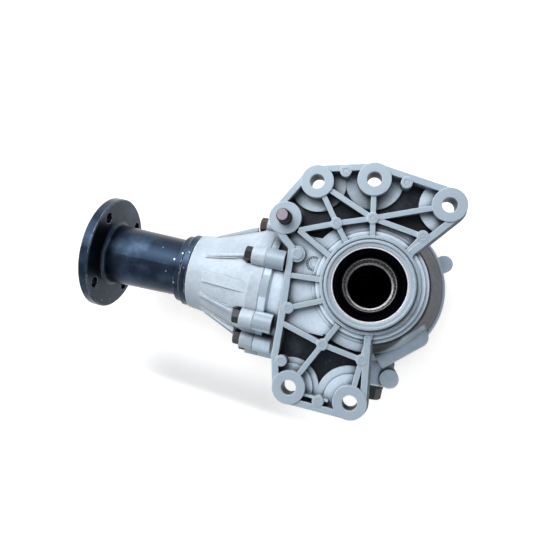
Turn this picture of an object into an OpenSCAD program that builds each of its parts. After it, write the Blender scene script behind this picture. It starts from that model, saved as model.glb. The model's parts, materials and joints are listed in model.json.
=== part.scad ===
// Right-angle transfer case for an all-wheel-drive car: a ribbed casting that bolts to the gearbox,
// a hollow splined input shaft with a ring gear, and an offset pinion that drives a companion flange.
// The origin is the centre of the input bore on the mounting face. Z points out of the mounting face
// along the input shaft, and the companion flange lies towards -X.

/* [Mounting face] */
// Radius of the five mounting bolt holes
bolt_hole_r = 6.5; // [5.5:0.5:7]
// Radius of the bosses round the mounting bolt holes
boss_r = 14.5; // [13:0.5:16]
// Height from the upper bolt line to the input axis
upper_bolt_y = 79.8; // [78:0.2:82]
// Distance of the upper left bolt hole to the left of the input axis
upper_left_x = 62.7; // [61:0.1:64]
// Distance of the upper right bolt hole to the right of the input axis
upper_right_x = 51; // [49:0.5:53]
// Distance of the top bolt hole to the left of the input axis
top_bolt_x = 14.5; // [12:0.5:17]
// Height of the top bolt hole over the input axis
top_bolt_y = 90.4; // [89:0.2:92]
// Distance of the lower bolt line below the input axis
lower_bolt_y = 101; // [99:0.5:103]
// Distance of the lower left bolt hole to the left of the input axis
lower_left_x = 49.3; // [47:0.1:51]
// Distance of the lower right bolt hole to the right of the input axis
lower_right_x = 4.1; // [2:0.1:6]
// Distance of the captive bolt to the left of the input axis
stud_x = 83.7; // [82:0.1:85]
// Height of the captive bolt over the input axis
stud_y = 42.9; // [41:0.1:45]
// Thickness of the mounting plate behind the face
plate_t = 22; // [20:1:24]
// Depth of the pockets between the ribs
pocket_depth = 17; // [14:1:18]
// Width of the rim round the plate
rim_w = 6; // [5:0.5:7]
// Width of the ribs
rib_w = 4.6; // [4:0.2:6]
// Radius of the round dots where ribs cross
rib_node_r = 5; // [4:0.5:6]
// Distance of the ribs and the rim behind the face
rib_setback = 1.5; // [1:0.5:2.5]

/* [Pilot] */
// Outer radius of the raised pilot ring
pilot_r = 38; // [37:0.5:40]
// Height of the pilot ring over the mounting face
pilot_h = 6; // [4:1:8]
// Radius of the bore that holds the input seal
seal_bore_r = 33; // [32:0.5:34]
// Outer radius of the flat ring round the pilot
base_ring_r = 42.5; // [42:0.5:44]

/* [Gear chamber] */
// Wall of the gear chamber
bell_wall = 6.5; // [5:0.5:7]
// Depth of the joint between case and rear cover
cover_joint_z = 106; // [105:0.5:108]
// Thickness of each flange at the rear cover joint
cover_flange_t = 9; // [8:0.5:11]
// Radius of the lugs round the rear cover bolts
cover_lug_r = 8.5; // [8:0.5:10]
// Outer radius of the neck behind the rear cover
neck_r = 47; // [46:0.5:50]
// Depth of the end of the rear neck
neck_z = 146; // [145:1:150]

/* [Pinion line] */
// Distance of the pinion axis below the input axis
pinion_offset = 20; // [19:0.5:21]
// Depth of the pinion axis behind the mounting face
pinion_depth = 60; // [59:0.5:61]
// Distance from the input axis to the pinion housing joint
housing_joint_x = 93; // [92:0.5:95]
// Outer radius of the flange of the pinion housing
housing_flange_r = 58; // [57:0.5:60]
// Thickness of the flange of the pinion housing
housing_flange_t = 11; // [10:0.5:12]
// Radius of the circle of the pinion housing bolts
housing_bolt_circle_r = 60; // [59:0.5:62]
// Radius of the lugs round the pinion housing bolts
housing_lug_r = 9; // [9:0.2:11]
// Outer radius of the nose of the pinion housing
nose_r = 37; // [36.5:0.5:39]
// Distance from the input axis to the end of the housing nose
nose_x = 170; // [169:0.5:172]
// Radius of the spigot that seats the pinion housing in the case
spigot_r = 42; // [41:0.5:43]

/* [Companion flange] */
// Radius of the companion flange
flange_r = 57; // [54:1:62]
// Thickness of the companion flange
flange_t = 10; // [8:1:12]
// Distance from the input axis to the outer face of the companion flange
flange_x = 272.7; // [270:0.1:280]
// Diameter of the circle of the four flange holes
flange_pcd = 92; // [86:1:96]
// Radius of the four flange holes
flange_hole_r = 5.5; // [4.5:0.5:6]
// Outer radius of the flange tube at its inner end
tube_r = 28.7; // [28:0.1:30]
// Outer radius of the flange tube where it meets the flange
tube_end_r = 30.5; // [30:0.5:33]
// Bore radius of the flange tube
tube_bore_r = 22; // [21:0.5:23]
// Radius of the recess that centres the propeller shaft on the flange
flange_pilot_r = 24; // [23:0.5:26]
// Depth of that recess
flange_pilot_depth = 7; // [5:0.5:9]
// Outer radius of the dust shield
shield_r = 36; // [34:0.5:37]

/* [Gears] */
// Number of ring gear teeth
ring_teeth = 43; // [43:1:43]
// Number of pinion teeth
pinion_teeth = 17; // [17:1:17]
// Outer radius of the ring gear teeth
ring_outer_r = 62; // [61:0.5:62.5]
// Inner radius of the ring gear teeth
ring_inner_r = 44; // [43.5:0.5:45]
// Mean pitch radius of the pinion
pinion_mean_r = 26; // [25.5:0.5:26.5]
// Slope of the ring gear's pitch cone
ring_slope = 0.42; // [0.4:0.01:0.45]
// Running gap on each tooth flank
tooth_gap = 0.22; // [0.18:0.02:0.3]
// Depth of the back face of the ring gear
ring_back_z = 100; // [99.5:0.5:101]

/* [Input shaft] */
// Radius of the bore through the input shaft
shaft_bore_r = 20; // [19:0.5:20.5]
// Radius of the bearing seats on the input shaft
shaft_seat_r = 25; // [24.5:0.5:26]
// Number of spline teeth in the mouth of the input shaft
spline_teeth = 42; // [36:1:48]
// Depth of the spline teeth
spline_depth = 1.6; // [1:0.1:2]
// Length of the spline
spline_l = 26; // [18:1:30]
// Depth of the mouth of the input shaft behind the mounting face
shaft_mouth_z = 8; // [7:0.5:8.5]

/* [Bearings] */
// Outer radius of the input shaft bearings
input_bearing_r = 40; // [39.5:0.5:40.5]
// Width of the input shaft bearings
input_bearing_w = 16; // [15:0.5:17]
// Outer radius of the pinion head bearing
head_bearing_r = 36; // [35:0.5:36.5]
// Bore radius of the pinion head bearing
head_bore_r = 17.5; // [17:0.5:18]
// Width of the pinion head bearing
head_bearing_w = 20; // [19:0.5:21]
// Outer radius of the pinion tail bearing
tail_bearing_r = 31; // [30:0.5:31.5]
// Bore radius of the pinion tail bearing
tail_bore_r = 15; // [14.5:0.5:15.5]
// Width of the pinion tail bearing
tail_bearing_w = 17; // [16:0.5:18]

/* [Fasteners] */
// Shank radius of the captive mounting bolt
stud_r = 6; // [5:0.5:6]
// Length of the captive bolt in front of the mounting face
stud_h = 14; // [10:1:18]
// Shank radius of the housing and cover bolts
small_bolt_r = 4; // [3:0.5:4]
// Width across the flats of the housing and cover bolt heads
small_bolt_flats = 12; // [10:1:13]
// Height of the housing and cover bolt heads
small_bolt_head_h = 8; // [5:0.5:9]

/* [Hidden] */
$fn = 64;
cast_colour = [0.66, 0.71, 0.76];
cover_colour = [0.5, 0.5, 0.5];
steel_colour = [0.72, 0.72, 0.74];
black_colour = [0.08, 0.08, 0.1];
rubber_colour = [0.05, 0.05, 0.06];
cut = 0.5;
seat_gap = 0.05;
lip_gap = 0.05;

stud_at = [-stud_x, stud_y];
upper_left = [-upper_left_x, upper_bolt_y];
top_middle = [-top_bolt_x, top_bolt_y];
upper_right = [upper_right_x, upper_bolt_y];
lower_left = [-lower_left_x, -lower_bolt_y];
lower_right = [lower_right_x, -lower_bolt_y];
bosses = [stud_at, upper_left, top_middle, upper_right, lower_left, lower_right];

// Corners of the plate's centre line between the bosses, on the left rim and beside the pilot.
rim_low = [-55.5, -76];
rim_mid = [-57.5, -33];
rim_high = [-60.6, 9];
rim_top = [-61.5, 24];
ear_foot = [18, 39.6];
leg_top = [-4, -43];
plate_path = [stud_at, upper_left, top_middle, upper_right, ear_foot, leg_top, lower_right,
    lower_left, rim_low, rim_mid, rim_high, rim_top];
corner_step = 9;
edge_inset = 0.4;

// Round dots where the ribs cross or end.
dot_a = [-38.6, 46.8];
dot_b = [-9, 56.9];
dot_c = [34.7, 49.6];
dot_d = [-66.7, 13.7];
dot_e = [-64.5, -34.3];
dot_f = [-28.6, -58.5];
dot_g = [6.6, -63.7];
dot_h = [-60.5, -80.3];
dot_i = [-40.2, 93.2];
dot_j = [12.7, 92.4];
dot_k = [-22.2, -106.6];
dots = [dot_a, dot_b, dot_c, dot_d, dot_e, dot_f, dot_g, dot_h, dot_i, dot_j, dot_k];
corner = [-69.7, 34.5];
ribs = [
    [upper_left, dot_a], [dot_a, [-25, 30]], [upper_left, dot_b], [dot_b, dot_c],
    [dot_b, upper_right], [top_middle, dot_b], [dot_b, [-5.4, 38]], [dot_a, dot_b],
    [corner, dot_a], [corner, [-34, 15]], [[-68, -5.8], [-38, -4]], [dot_e, [-35, -21]],
    [[-66, -48.5], dot_f], [dot_f, dot_g], [dot_f, [-19, -39]], [dot_f, lower_left],
    [dot_g, [9.5, -40]], [dot_g, lower_right], [dot_c, [24, 32]]];
slim_rib = [[-37, -104.3], [-14, -104.6]];
slim_rib_w = 2;

// Steps of the floor round the bosses: centre, radius and height.
floor_steps = [[lower_left, 25, -12.5], [lower_left, 20, -10], [lower_right, 30, -12.3],
    [lower_right, 23, -9.8], [top_middle, 25, -12.7], [upper_left, 25, -12.4], [upper_right, 24.5, -9.3]];

// How the plate's side spreads out: outward reach from the bosses and the height where it begins.
skirt = [[0.2, -3.5], [0.9, -7], [1.6, -12]];

rib_z = -rib_setback;
rim_z = rib_z + 0.3;
dot_z = rib_z + 0.6;
plate_z = -plate_t;
boss_back_z = plate_z - 1;
stud_seat_z = plate_z - 0.7;
pocket_z = -pocket_depth;
shallow_z = rib_z - 7.5;
shallow_r = 58;

ring_room = 3;
bell_r = ring_outer_r + ring_room + bell_wall;
cover_bolt_circle_r = bell_r + 5.5;
spigot_x = ring_outer_r + ring_room + 0.5;
bell_z = -74;
joint_z = -cover_joint_z;
chamber_r = ring_outer_r + ring_room;
cover_bolt_angles = [30.6, 72, 112, 148, 219, 252, 294];
axis_z = -pinion_depth;
axis_y = -pinion_offset;
housing_bolt_angles = [32, 60, 92, 150, 205, 255, 286, 335];

front_bearing_z = -13;
front_bearing_end = front_bearing_z - input_bearing_w;
rear_bearing_z = joint_z - 12;
rear_bearing_end = rear_bearing_z - input_bearing_w;
shim_t = 1;
shim_inner_r = input_bearing_r - 6.5;
shaft_shoulder_r = shaft_seat_r + 5;
shaft_flange_r = 54;
shaft_flange_t = 7;
ring_pilot_r = 38;
ring_bolt_circle_r = 46.5;
ring_bolts = 10;
ring_bolt_r = 4;
ring_bolt_head_h = 5.5;
shaft_end_z = -neck_z + 2;

head_bearing_x = -spigot_x - 1;
tail_bearing_x = -137;
pinion_back_x = head_bearing_x + shim_t;
sleeve_r = 20;
spline_shaft_r = 13;
thread_r = 10;
sleeve_end_x = tail_bearing_x - tail_bearing_w;
seal_depth = 10;
hub_end_x = -204;
hub_r = 22;
washer_t = 3;
nut_h = 9;
thread_end = -hub_end_x + washer_t + nut_h + 4;
shaft_nose_r = shaft_seat_r - 0.2;
spline_step = 1.2;
spline_lead = 2.2;
input_seal_z = 2;
input_seal_depth = 14.5;
o_ring_x = housing_joint_x - 5;
o_ring_r = 1.2;
dowel_angles = [54, 225];
dowel_reach = 5;
dowel_r = 2.5;
plug_r = 9;
plug_flats = 22;
plug_length = 13;
drain_head_h = 14;
filler_head_h = 10;
washer_r = 13;
washer_h = 1.5;
drain_x = 20;
drain_y = -90;
drain_z = -84;
filler_x = 12;
filler_y = 76;
breather_x = -30;
breather_y = 74;
sweep_angle = 26;
sweep_step = 2.6;
cup_shoulder_r = 27;
gusset_t = 5;
lug_start_x = 76;
lug_proud = 1;
spot_depth = 0.6;
pilot_land_w = 3;
pilot_land_drop = 1.5;
pilot_groove_near = 0.9;
pilot_groove_far = 2.1;
pilot_groove_depth = 0.9;
stud_boss_t = 15;
stud_waist_r = 5.4;
spot_r = 8.6;
fin_t = 5;
fin_r = 51.2;
fin_foot_r = 43;
cone_pad_angle = 5;
cone_pad_r = 48.1;
cone_pad_z = 35;
cone_pad_slope = 19.4;
cone_pad_w = 10;
cone_pad_l = 52;
plug_boss_r = 15;
ridge_a = [53, -36];
ridge_b = [21, -65];
ridge_r = 10;
ridge_z = -60;
bracket_boss = [36, -81.5];
housing_bolt_l = 10;
cover_bolt_l = 13;

// Gear geometry: the ring gear's teeth face the mounting side, and the pinion lies in front of them.
ratio = ring_teeth / pinion_teeth;
ring_mean_r = (ring_outer_r + ring_inner_r) / 2;
module_at = function (r) 2 * r / ring_teeth;
pitch_z = function (r) axis_z - pinion_mean_r - ring_slope * (r - ring_mean_r);
ring_addendum = 0.5;
ring_dedendum = 1.2;
pinion_addendum = 1.0;
pinion_dedendum = 0.7;
flank_slope = 0.38;
axial = function (r) sqrt(r * r - pinion_offset * pinion_offset);
pinion_r_at = function (r) pinion_mean_r + ring_slope * (r - ring_mean_r);
spiral_at = function (r)
    atan((ratio * pinion_r_at(r) - axial(r)) / pinion_offset) - atan(pinion_offset / axial(r));
tooth_stations = 4;
station_r = [for (i = [0:tooth_stations - 1])
    ring_inner_r + (ring_outer_r - ring_inner_r) * i / (tooth_stations - 1)];
turn_at = function (r, from = ring_mean_r) tan(spiral_at((r + from) / 2)) * (r - from) / ((r + from) / 2)
    * 180 / PI;
mesh_angle = 180 + atan(pinion_offset / axial(ring_mean_r));

// Points of an arc, for the outlines of turned forms.
function arc(centre, r, from, to, steps = 10) =
    [for (i = [0:steps]) centre + r * [cos(from + (to - from) * i / steps),
        sin(from + (to - from) * i / steps)]];

module along(a, b, w, low, high) {
    d = b - a;
    translate([a[0], a[1], low])
        rotate([0, 0, atan2(d[1], d[0])])
            translate([0, -w / 2, 0])
                cube([norm(d), w, high - low]);
}

module pad(at, r, low, high) {
    translate([at[0], at[1], low])
        cylinder(h = high - low, r = r);
}

// Places a child that is drawn along Z from 0 upwards on the pinion axis, pointing away from the case.
module on_pinion(x) {
    translate([x, axis_y, axis_z])
        rotate([0, -90, 0])
            children();
}

// Places a child at an angle and radius round the pinion axis. Angle 0 is towards the mounting face.
module round_pinion(x, angle, r) {
    on_pinion(x)
        rotate([0, 0, -angle])
            translate([r, 0, 0])
                children();
}

// Hexagon head with its upper corners turned off at 30 degrees.
module hexagon(flats, h) {
    top_r = 0.475 * flats;
    intersection() {
        cylinder(h = h, r = flats / sqrt(3), $fn = 6);
        translate([0, 0, -1])
            cylinder(h = h + 1, r1 = top_r + (h + 1) / tan(30), r2 = top_r);
    }
}

module flange_bolt(r, length, flats, head_h) {
    translate([0, 0, -length])
        cylinder(h = length + 1, r = r);
    cylinder(h = 1.6, r = flats * 0.66);
    hexagon(flats, head_h);
}

// The plate's outline: its centre line moved outwards by r, with arcs round the corners.
function plate_outline(r) = [for (i = [0:len(plate_path) - 1])
    let (p = plate_path[i],
        before = plate_path[(i + len(plate_path) - 1) % len(plate_path)],
        after = plate_path[(i + 1) % len(plate_path)],
        a = atan2(p[1] - before[1], p[0] - before[0]) + 90,
        b = atan2(after[1] - p[1], after[0] - p[0]) + 90,
        turn = (b - a + 540) % 360 - 180,
        steps = turn < 0 ? ceil(-turn / corner_step) : 0)
    each turn < 0
        ? [for (k = [0:steps]) p + r * [cos(a + turn * k / steps), sin(a + turn * k / steps)]]
        : [p + r / cos(turn / 2) * [cos(a + turn / 2), sin(a + turn / 2)]]];

module plate_prism(r, low, high) {
    translate([0, 0, low])
        linear_extrude(high - low)
            polygon(plate_outline(r));
}

module plate() {
    difference() {
        union() {
            plate_prism(boss_r - edge_inset, plate_z, rim_z);
            // The plate's side spreads out below the face.
            for (i = [0:len(skirt) - 1])
                plate_prism(boss_r + skirt[i][0], plate_z + 0.5 + 0.1 * i, skirt[i][1]);
        }
        difference() {
            plate_prism(boss_r - rim_w, pocket_z, rim_z + cut);
            pad([0, 0], shallow_r, pocket_z - cut, shallow_z);
            translate([-80, -52, pocket_z - cut])
                cube([50, 84, shallow_z - pocket_z + cut]);
        }
    }
    // Stepped floors round the bosses.
    intersection() {
        plate_prism(boss_r - 2, pocket_z - 4, -4);
        for (step = floor_steps)
            pad(step[0], step[1], pocket_z - 3, step[2]);
    }
    // Ribs that cross differ a little in height, so that each keeps its own edge.
    for (i = [0:len(ribs) - 1])
        along(ribs[i][0], ribs[i][1], rib_w, pocket_z - 1, rib_z - 0.12 * (i % 4));
    along(slim_rib[0], slim_rib[1], slim_rib_w, pocket_z - 1.5, rib_z - 1.3);
    for (dot = dots)
        pad(dot, rib_node_r, pocket_z - 2, dot_z);
    pad(dot_d, rib_node_r + 2.2, pocket_z - 2.5, dot_z - 1.1);
    for (boss = bosses)
        pad(boss, boss_r, boss_back_z, 0);
}

// Outer form of the gear chamber, from the flat ring at the face to the joint with the rear cover.
module chamber_body() {
    rotate_extrude()
        polygon(concat(
            [[0, 0], [base_ring_r, 0], [base_ring_r, -4], [base_ring_r + 4, -4], [base_ring_r + 4, -8],
                [base_ring_r + 7.5, -8], [base_ring_r + 7.5, -12]],
            arc([base_ring_r + 17.5, -20], 10, 180, 232, 6),
            arc([bell_r - 14, bell_z], 14, 48, 0, 6),
            [[bell_r, joint_z - 1], [0, joint_z - 1]]));
}

module cover_lugs(low, high) {
    for (a = cover_bolt_angles)
        translate([cover_bolt_circle_r * cos(a), cover_bolt_circle_r * sin(a), low])
            cylinder(h = high - low, r = cover_lug_r);
}

module barrel_body() {
    on_pinion(0)
        rotate_extrude()
            polygon([[0, 20], [spigot_r + 7, 20], [spigot_r + 7, 68], [housing_flange_r - 3, 72],
                [housing_flange_r - 3, housing_joint_x - housing_flange_t + 2],
                [housing_flange_r, housing_joint_x - housing_flange_t + 4],
                [housing_flange_r, housing_joint_x + 1], [0, housing_joint_x + 1]]);
    for (a = housing_bolt_angles)
        round_pinion(-lug_start_x, a, housing_bolt_circle_r)
            cylinder(h = housing_joint_x - lug_start_x + 2, r = housing_lug_r);
}

// Webs that stand behind the plate and tie its bosses to the gear chamber.
module gussets() {
    for (boss = [upper_left, top_middle, upper_right, lower_left, lower_right])
        rotate([0, 0, atan2(boss[1], boss[0])])
            translate([0, gusset_t / 2, 0])
                rotate([90, 0, 0])
                    linear_extrude(gusset_t)
                        polygon([[50, plate_z + 2], [norm(boss) - 13, plate_z + 2], [bell_r - 1, bell_z + 4],
                            [56, bell_z + 4]]);
}

// Cast bosses for the drain plug, the filler plug and the breather, and the rounded ridge beside the drain.
module chamber_bosses() {
    translate([drain_x, drain_y, drain_z])
        rotate([-90, 0, 0])
            cylinder(h = 40, r = plug_boss_r);
    translate([filler_x, filler_y, axis_z])
        rotate([90, 0, 0])
            cylinder(h = 30, r = plug_boss_r - 1);
    translate([breather_x, breather_y, axis_z])
        rotate([90, 0, 0])
            cylinder(h = 20, r = 8);
    ridge = ridge_b - ridge_a;
    translate([ridge_a[0], ridge_a[1], ridge_z]) {
        sphere(r = ridge_r);
        rotate([0, 90, atan2(ridge[1], ridge[0])])
            cylinder(h = norm(ridge), r = ridge_r);
        translate(ridge)
            sphere(r = ridge_r);
    }
    pad(bracket_boss, 9, joint_z + 4, bell_z + 6);
    along(bracket_boss, bracket_boss * 0.75, 14, joint_z + 6, bell_z + 2);
}

module main_case() {
    color(cast_colour)
        difference() {
            union() {
                plate();
                difference() {
                    union() {
                        chamber_body();
                        barrel_body();
                        gussets();
                        chamber_bosses();
                        translate([0, 0, joint_z - 2])
                            cylinder(h = cover_flange_t + 2, r = bell_r + 2);
                        cover_lugs(joint_z - 3, joint_z + cover_flange_t + 6);
                    }
                    // The flat joints for the rear cover and the pinion housing.
                    translate([0, 0, joint_z - 20])
                        cylinder(h = 20, r = cover_bolt_circle_r + cover_lug_r + 1);
                    on_pinion(-housing_joint_x)
                        cylinder(h = 20, r = housing_bolt_circle_r + housing_lug_r + 1);
                }
                pad([0, 0], pilot_r, -1, pilot_h);
            }
            // Lower land inside the pilot ring and the turned groove outside it.
            pad([0, 0], seal_bore_r + pilot_land_w, pilot_h - pilot_land_drop, pilot_h + cut);
            difference() {
                pad([0, 0], pilot_r + pilot_groove_far, -pilot_groove_depth, pilot_h);
                pad([0, 0], pilot_r + pilot_groove_near, -1, pilot_h + cut);
            }
            // Seal bore, bearing pocket and gear chamber.
            translate([0, 0, front_bearing_z - cut])
                cylinder(h = 40, r = seal_bore_r);
            translate([0, 0, front_bearing_end - 20])
                cylinder(h = input_bearing_w + 20 + shim_t, r = input_bearing_r + seat_gap);
            rotate_extrude()
                polygon([[0, joint_z - cut], [chamber_r, joint_z - cut], [chamber_r, -79],
                    [input_bearing_r + 4, -62], [input_bearing_r + 4, front_bearing_end - 2],
                    [0, front_bearing_end - 2]]);
            // Pinion head room and the bore for the pinion housing's spigot.
            on_pinion(-30)
                cylinder(h = 40, r = 36);
            on_pinion(-spigot_x + 1)
                cylinder(h = 40, r = spigot_r + seat_gap);
            for (boss = bosses)
                pad(boss, bolt_hole_r, boss_back_z - cut, cut);
            for (a = housing_bolt_angles)
                round_pinion(-housing_joint_x + housing_bolt_l + 1, a, housing_bolt_circle_r)
                    cylinder(h = housing_bolt_l + 4, r = small_bolt_r);
            for (a = cover_bolt_angles)
                rotate([0, 0, a])
                    translate([cover_bolt_circle_r, 0, joint_z - cut])
                        cylinder(h = cover_bolt_l + 1, r = small_bolt_r);
            dowel_place()
                cylinder(h = 2 * dowel_reach + 1, r = dowel_r + seat_gap, center = true);
            // Room for the pinion housing's lug below the captive bolt's boss.
            translate([-housing_joint_x - 20, 0, plate_z - 10])
                cube([20, 80, 10 + plate_t - stud_boss_t]);
            // Spot face for the captive bolt's head, and tapped holes for the plugs and the breather.
            pad(stud_at, 10.5, plate_z - 12, stud_seat_z);
            drain_place()
                translate([0, 0, -20])
                    cylinder(h = 20 + cut, r = plug_r + seat_gap);
            filler_place()
                translate([0, 0, -30])
                    cylinder(h = 30 + cut, r = plug_r + seat_gap);
            translate([breather_x, breather_y + cut, axis_z])
                rotate([90, 0, 0])
                    cylinder(h = 30, r = 4 + seat_gap);
        }
}

module rear_cover() {
    low = joint_z - cover_flange_t;
    color(cover_colour)
        difference() {
            union() {
                translate([0, 0, low + 0.4])
                    cylinder(h = cover_flange_t - 0.4 + 1, r = bell_r + 2);
                cover_lugs(low - lug_proud, joint_z + 2);
                rotate_extrude()
                    polygon(concat([[0, low + 2], [bell_r, low + 2]],
                        arc([bell_r - 12, low - 1], 12, 0, -70, 6),
                        [[neck_r, low - 16], [neck_r, -neck_z + 1], [neck_r - 1, -neck_z], [0, -neck_z]]));
                for (a = cover_bolt_angles)
                    rotate([0, 0, a])
                        rotate([90, 0, 0])
                            linear_extrude(gusset_t, center = true)
                                polygon([[neck_r - 4, low - 6], [neck_r - 4, 5 - neck_z],
                                    [neck_r + 1, 4 - neck_z], [bell_r - 7, low - 12], [bell_r - 4, low - 4]]);
            }
            translate([0, 0, joint_z])
                cylinder(h = 20, r = cover_bolt_circle_r + cover_lug_r + 1);
            translate([0, 0, joint_z - 5])
                cylinder(h = 5 + cut, r = chamber_r);
            dowel_place()
                cylinder(h = 2 * dowel_reach + 1, r = dowel_r + seat_gap, center = true);
            translate([0, 0, rear_bearing_end - shim_t])
                cylinder(h = 60, r = input_bearing_r + seat_gap);
            translate([0, 0, -neck_z - cut])
                cylinder(h = 60, r = seal_bore_r);
            translate([0, 0, low + 1])
                cylinder(h = 20, r = shaft_flange_r + 4);
            for (a = cover_bolt_angles)
                rotate([0, 0, a])
                    translate([cover_bolt_circle_r, 0, low - cut]) {
                        cylinder(h = 40, r = small_bolt_r + 0.5);
                        translate([0, 0, cut - 20])
                            cylinder(h = 20, r = spot_r);
                    }
        }
}

module rear_cover_bolts() {
    color(steel_colour)
        for (a = cover_bolt_angles)
            rotate([0, 0, a])
                translate([cover_bolt_circle_r, 0, joint_z - cover_flange_t])
                    rotate([180, 0, 0])
                        flange_bolt(small_bolt_r - seat_gap, cover_flange_t + cover_bolt_l - 1,
                            small_bolt_flats, small_bolt_head_h);
}

module pinion_housing() {
    flange_z = housing_flange_t;
    nose_z = nose_x - housing_joint_x;
    spigot_z = -(housing_joint_x - spigot_x);
    head_z = -housing_joint_x - head_bearing_x;
    tail_z = -housing_joint_x - tail_bearing_x;
    color(cast_colour)
        difference() {
            union() {
                on_pinion(-housing_joint_x) {
                    rotate_extrude()
                        polygon([[0, spigot_z], [spigot_r + 1, spigot_z], [spigot_r + 1, -1],
                            [housing_flange_r, -1], [housing_flange_r, flange_z], [52, flange_z + 12],
                            [44, flange_z + 34], [nose_r + 2, flange_z + 50], [nose_r, nose_z], [0, nose_z]]);
                }
                for (a = housing_bolt_angles) {
                    round_pinion(-housing_joint_x + 2, a, housing_bolt_circle_r)
                        cylinder(h = 2 + flange_z + lug_proud + spot_depth, r = housing_lug_r);
                    round_pinion(-housing_joint_x, a, 0)
                        rotate([90, 0, 0])
                            linear_extrude(fin_t, center = true)
                                polygon([[fin_foot_r, 18], [fin_r, 22], [fin_r, 30], [nose_r + 2.6, 62],
                                    [fin_foot_r - 8, 62]]);
                }
                // Flat pad on the side towards the mounting face.
                round_pinion(-housing_joint_x, cone_pad_angle, cone_pad_r)
                    translate([0, 0, cone_pad_z])
                        rotate([0, -cone_pad_slope, 0])
                            translate([-4, -cone_pad_w / 2, -cone_pad_l / 2])
                                cube([5, cone_pad_w, cone_pad_l]);
            }
            // The flat joint round the spigot.
            on_pinion(-housing_joint_x + 40)
                difference() {
                    cylinder(h = 40, r = housing_bolt_circle_r + housing_lug_r + 1);
                    translate([0, 0, -cut])
                        cylinder(h = 40 + 2 * cut, r = spigot_r);
                }
            on_pinion(-housing_joint_x) {
                translate([0, 0, spigot_z - cut])
                    cylinder(h = nose_z - spigot_z + 2 * cut, r = cup_shoulder_r);
                translate([0, 0, spigot_z - cut])
                    cylinder(h = head_z + head_bearing_w - spigot_z + cut, r = head_bearing_r + seat_gap);
                translate([0, 0, o_ring_x - housing_joint_x])
                    rotate_extrude()
                        translate([spigot_r - 2 * o_ring_r - seat_gap, -1.5])
                            square([4, 3]);
                translate([0, 0, tail_z])
                    cylinder(h = nose_z, r = tail_bearing_r + seat_gap);
            }
            for (a = housing_bolt_angles) {
                round_pinion(-housing_joint_x + cut, a, housing_bolt_circle_r)
                    cylinder(h = 40, r = small_bolt_r + 0.5);
                round_pinion(-housing_joint_x - flange_z - lug_proud, a, housing_bolt_circle_r)
                    cylinder(h = 30, r = spot_r);
            }
        }
}

module pinion_housing_bolts() {
    color(black_colour)
        for (a = housing_bolt_angles)
            round_pinion(-housing_joint_x - housing_flange_t - lug_proud, a, housing_bolt_circle_r)
                flange_bolt(small_bolt_r - seat_gap, housing_flange_t + lug_proud + housing_bolt_l,
                    small_bolt_flats, small_bolt_head_h);
}

// Tapered roller bearing, drawn along Z with its small end at 0 and its wide end at w.
taper = 13;
function race_apex(rm) = rm / tan(taper);
function roller_d(bore, outer) = 0.4 * (outer - bore);
function roller_half(rm, d) = asin(d / 2 / (rm / sin(taper)));
function roller_count(rm, d) = floor(2 * PI * rm / (d * 1.55));
roller_gap = 0.05;
cone_rib_w = 2.4;

module bearing_cup(bore, outer, w) {
    rm = (bore + outer) / 2;
    d = roller_d(bore, outer);
    t = tan(taper + roller_half(rm, d));
    low = (race_apex(rm) - w / 2 + 2) * t + roller_gap;
    high = (race_apex(rm) + w / 2) * t + roller_gap;
    color(steel_colour)
        rotate_extrude()
            polygon([[low, 2], [outer, 2], [outer, w - 1], [outer - 1, w], [high, w]]);
}

module bearing_cone(bore, outer, w) {
    rm = (bore + outer) / 2;
    d = roller_d(bore, outer);
    t = tan(taper - roller_half(rm, d));
    low = (race_apex(rm) - w / 2) * t - roller_gap;
    high = (race_apex(rm) + w / 2 - cone_rib_w) * t - roller_gap;
    rib = 0.22 * d;
    color(steel_colour)
        rotate_extrude()
            polygon([[bore, 0], [low, 0], [high, w - cone_rib_w], [high + rib, w - cone_rib_w],
                [high + rib, w], [bore, w]]);
}

module bearing_roller(bore, outer, w, grow = 0) {
    rm = (bore + outer) / 2;
    d = roller_d(bore, outer);
    half = roller_half(rm, d);
    l = w - 6.8;
    reach = rm / sin(taper);
    translate([0, 0, w / 2 - race_apex(rm)])
        rotate([0, taper, 0])
            translate([0, 0, reach - l / 2 - grow])
                cylinder(h = l + 2 * grow, r1 = (reach - l / 2) * tan(half) + grow,
                    r2 = (reach + l / 2) * tan(half) + grow);
}

module bearing_rollers(bore, outer, w) {
    n = roller_count((bore + outer) / 2, roller_d(bore, outer));
    color(steel_colour)
        for (i = [0:n - 1])
            rotate([0, 0, i * 360 / n])
                bearing_roller(bore, outer, w);
}

module bearing_cage(bore, outer, w) {
    rm = (bore + outer) / 2;
    n = roller_count(rm, roller_d(bore, outer));
    low = (race_apex(rm) - w / 2 + 1) * tan(taper);
    high = (race_apex(rm) + w / 2 - 1) * tan(taper);
    color(steel_colour)
        difference() {
            rotate_extrude()
                polygon([[low, 1], [low + 1.4, 1], [high + 1.4, w - 1], [high, w - 1]]);
            for (i = [0:n - 1])
                rotate([0, 0, i * 360 / n])
                    bearing_roller(bore, outer, w, 0.3);
        }
}

module front_bearing_place() {
    translate([0, 0, front_bearing_z])
        rotate([180, 0, 0])
            children();
}

module rear_bearing_place() {
    translate([0, 0, rear_bearing_end])
        children();
}

module head_bearing_place() {
    on_pinion(head_bearing_x - head_bearing_w)
        rotate([180, 0, 0])
            children();
}

module tail_bearing_place() {
    on_pinion(tail_bearing_x)
        children();
}

module front_bearing_cup() {
    front_bearing_place()
        bearing_cup(shaft_seat_r, input_bearing_r, input_bearing_w);
}

module front_bearing_rollers() {
    front_bearing_place()
        bearing_rollers(shaft_seat_r, input_bearing_r, input_bearing_w);
}

module front_bearing_cage() {
    front_bearing_place()
        bearing_cage(shaft_seat_r, input_bearing_r, input_bearing_w);
}

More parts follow.
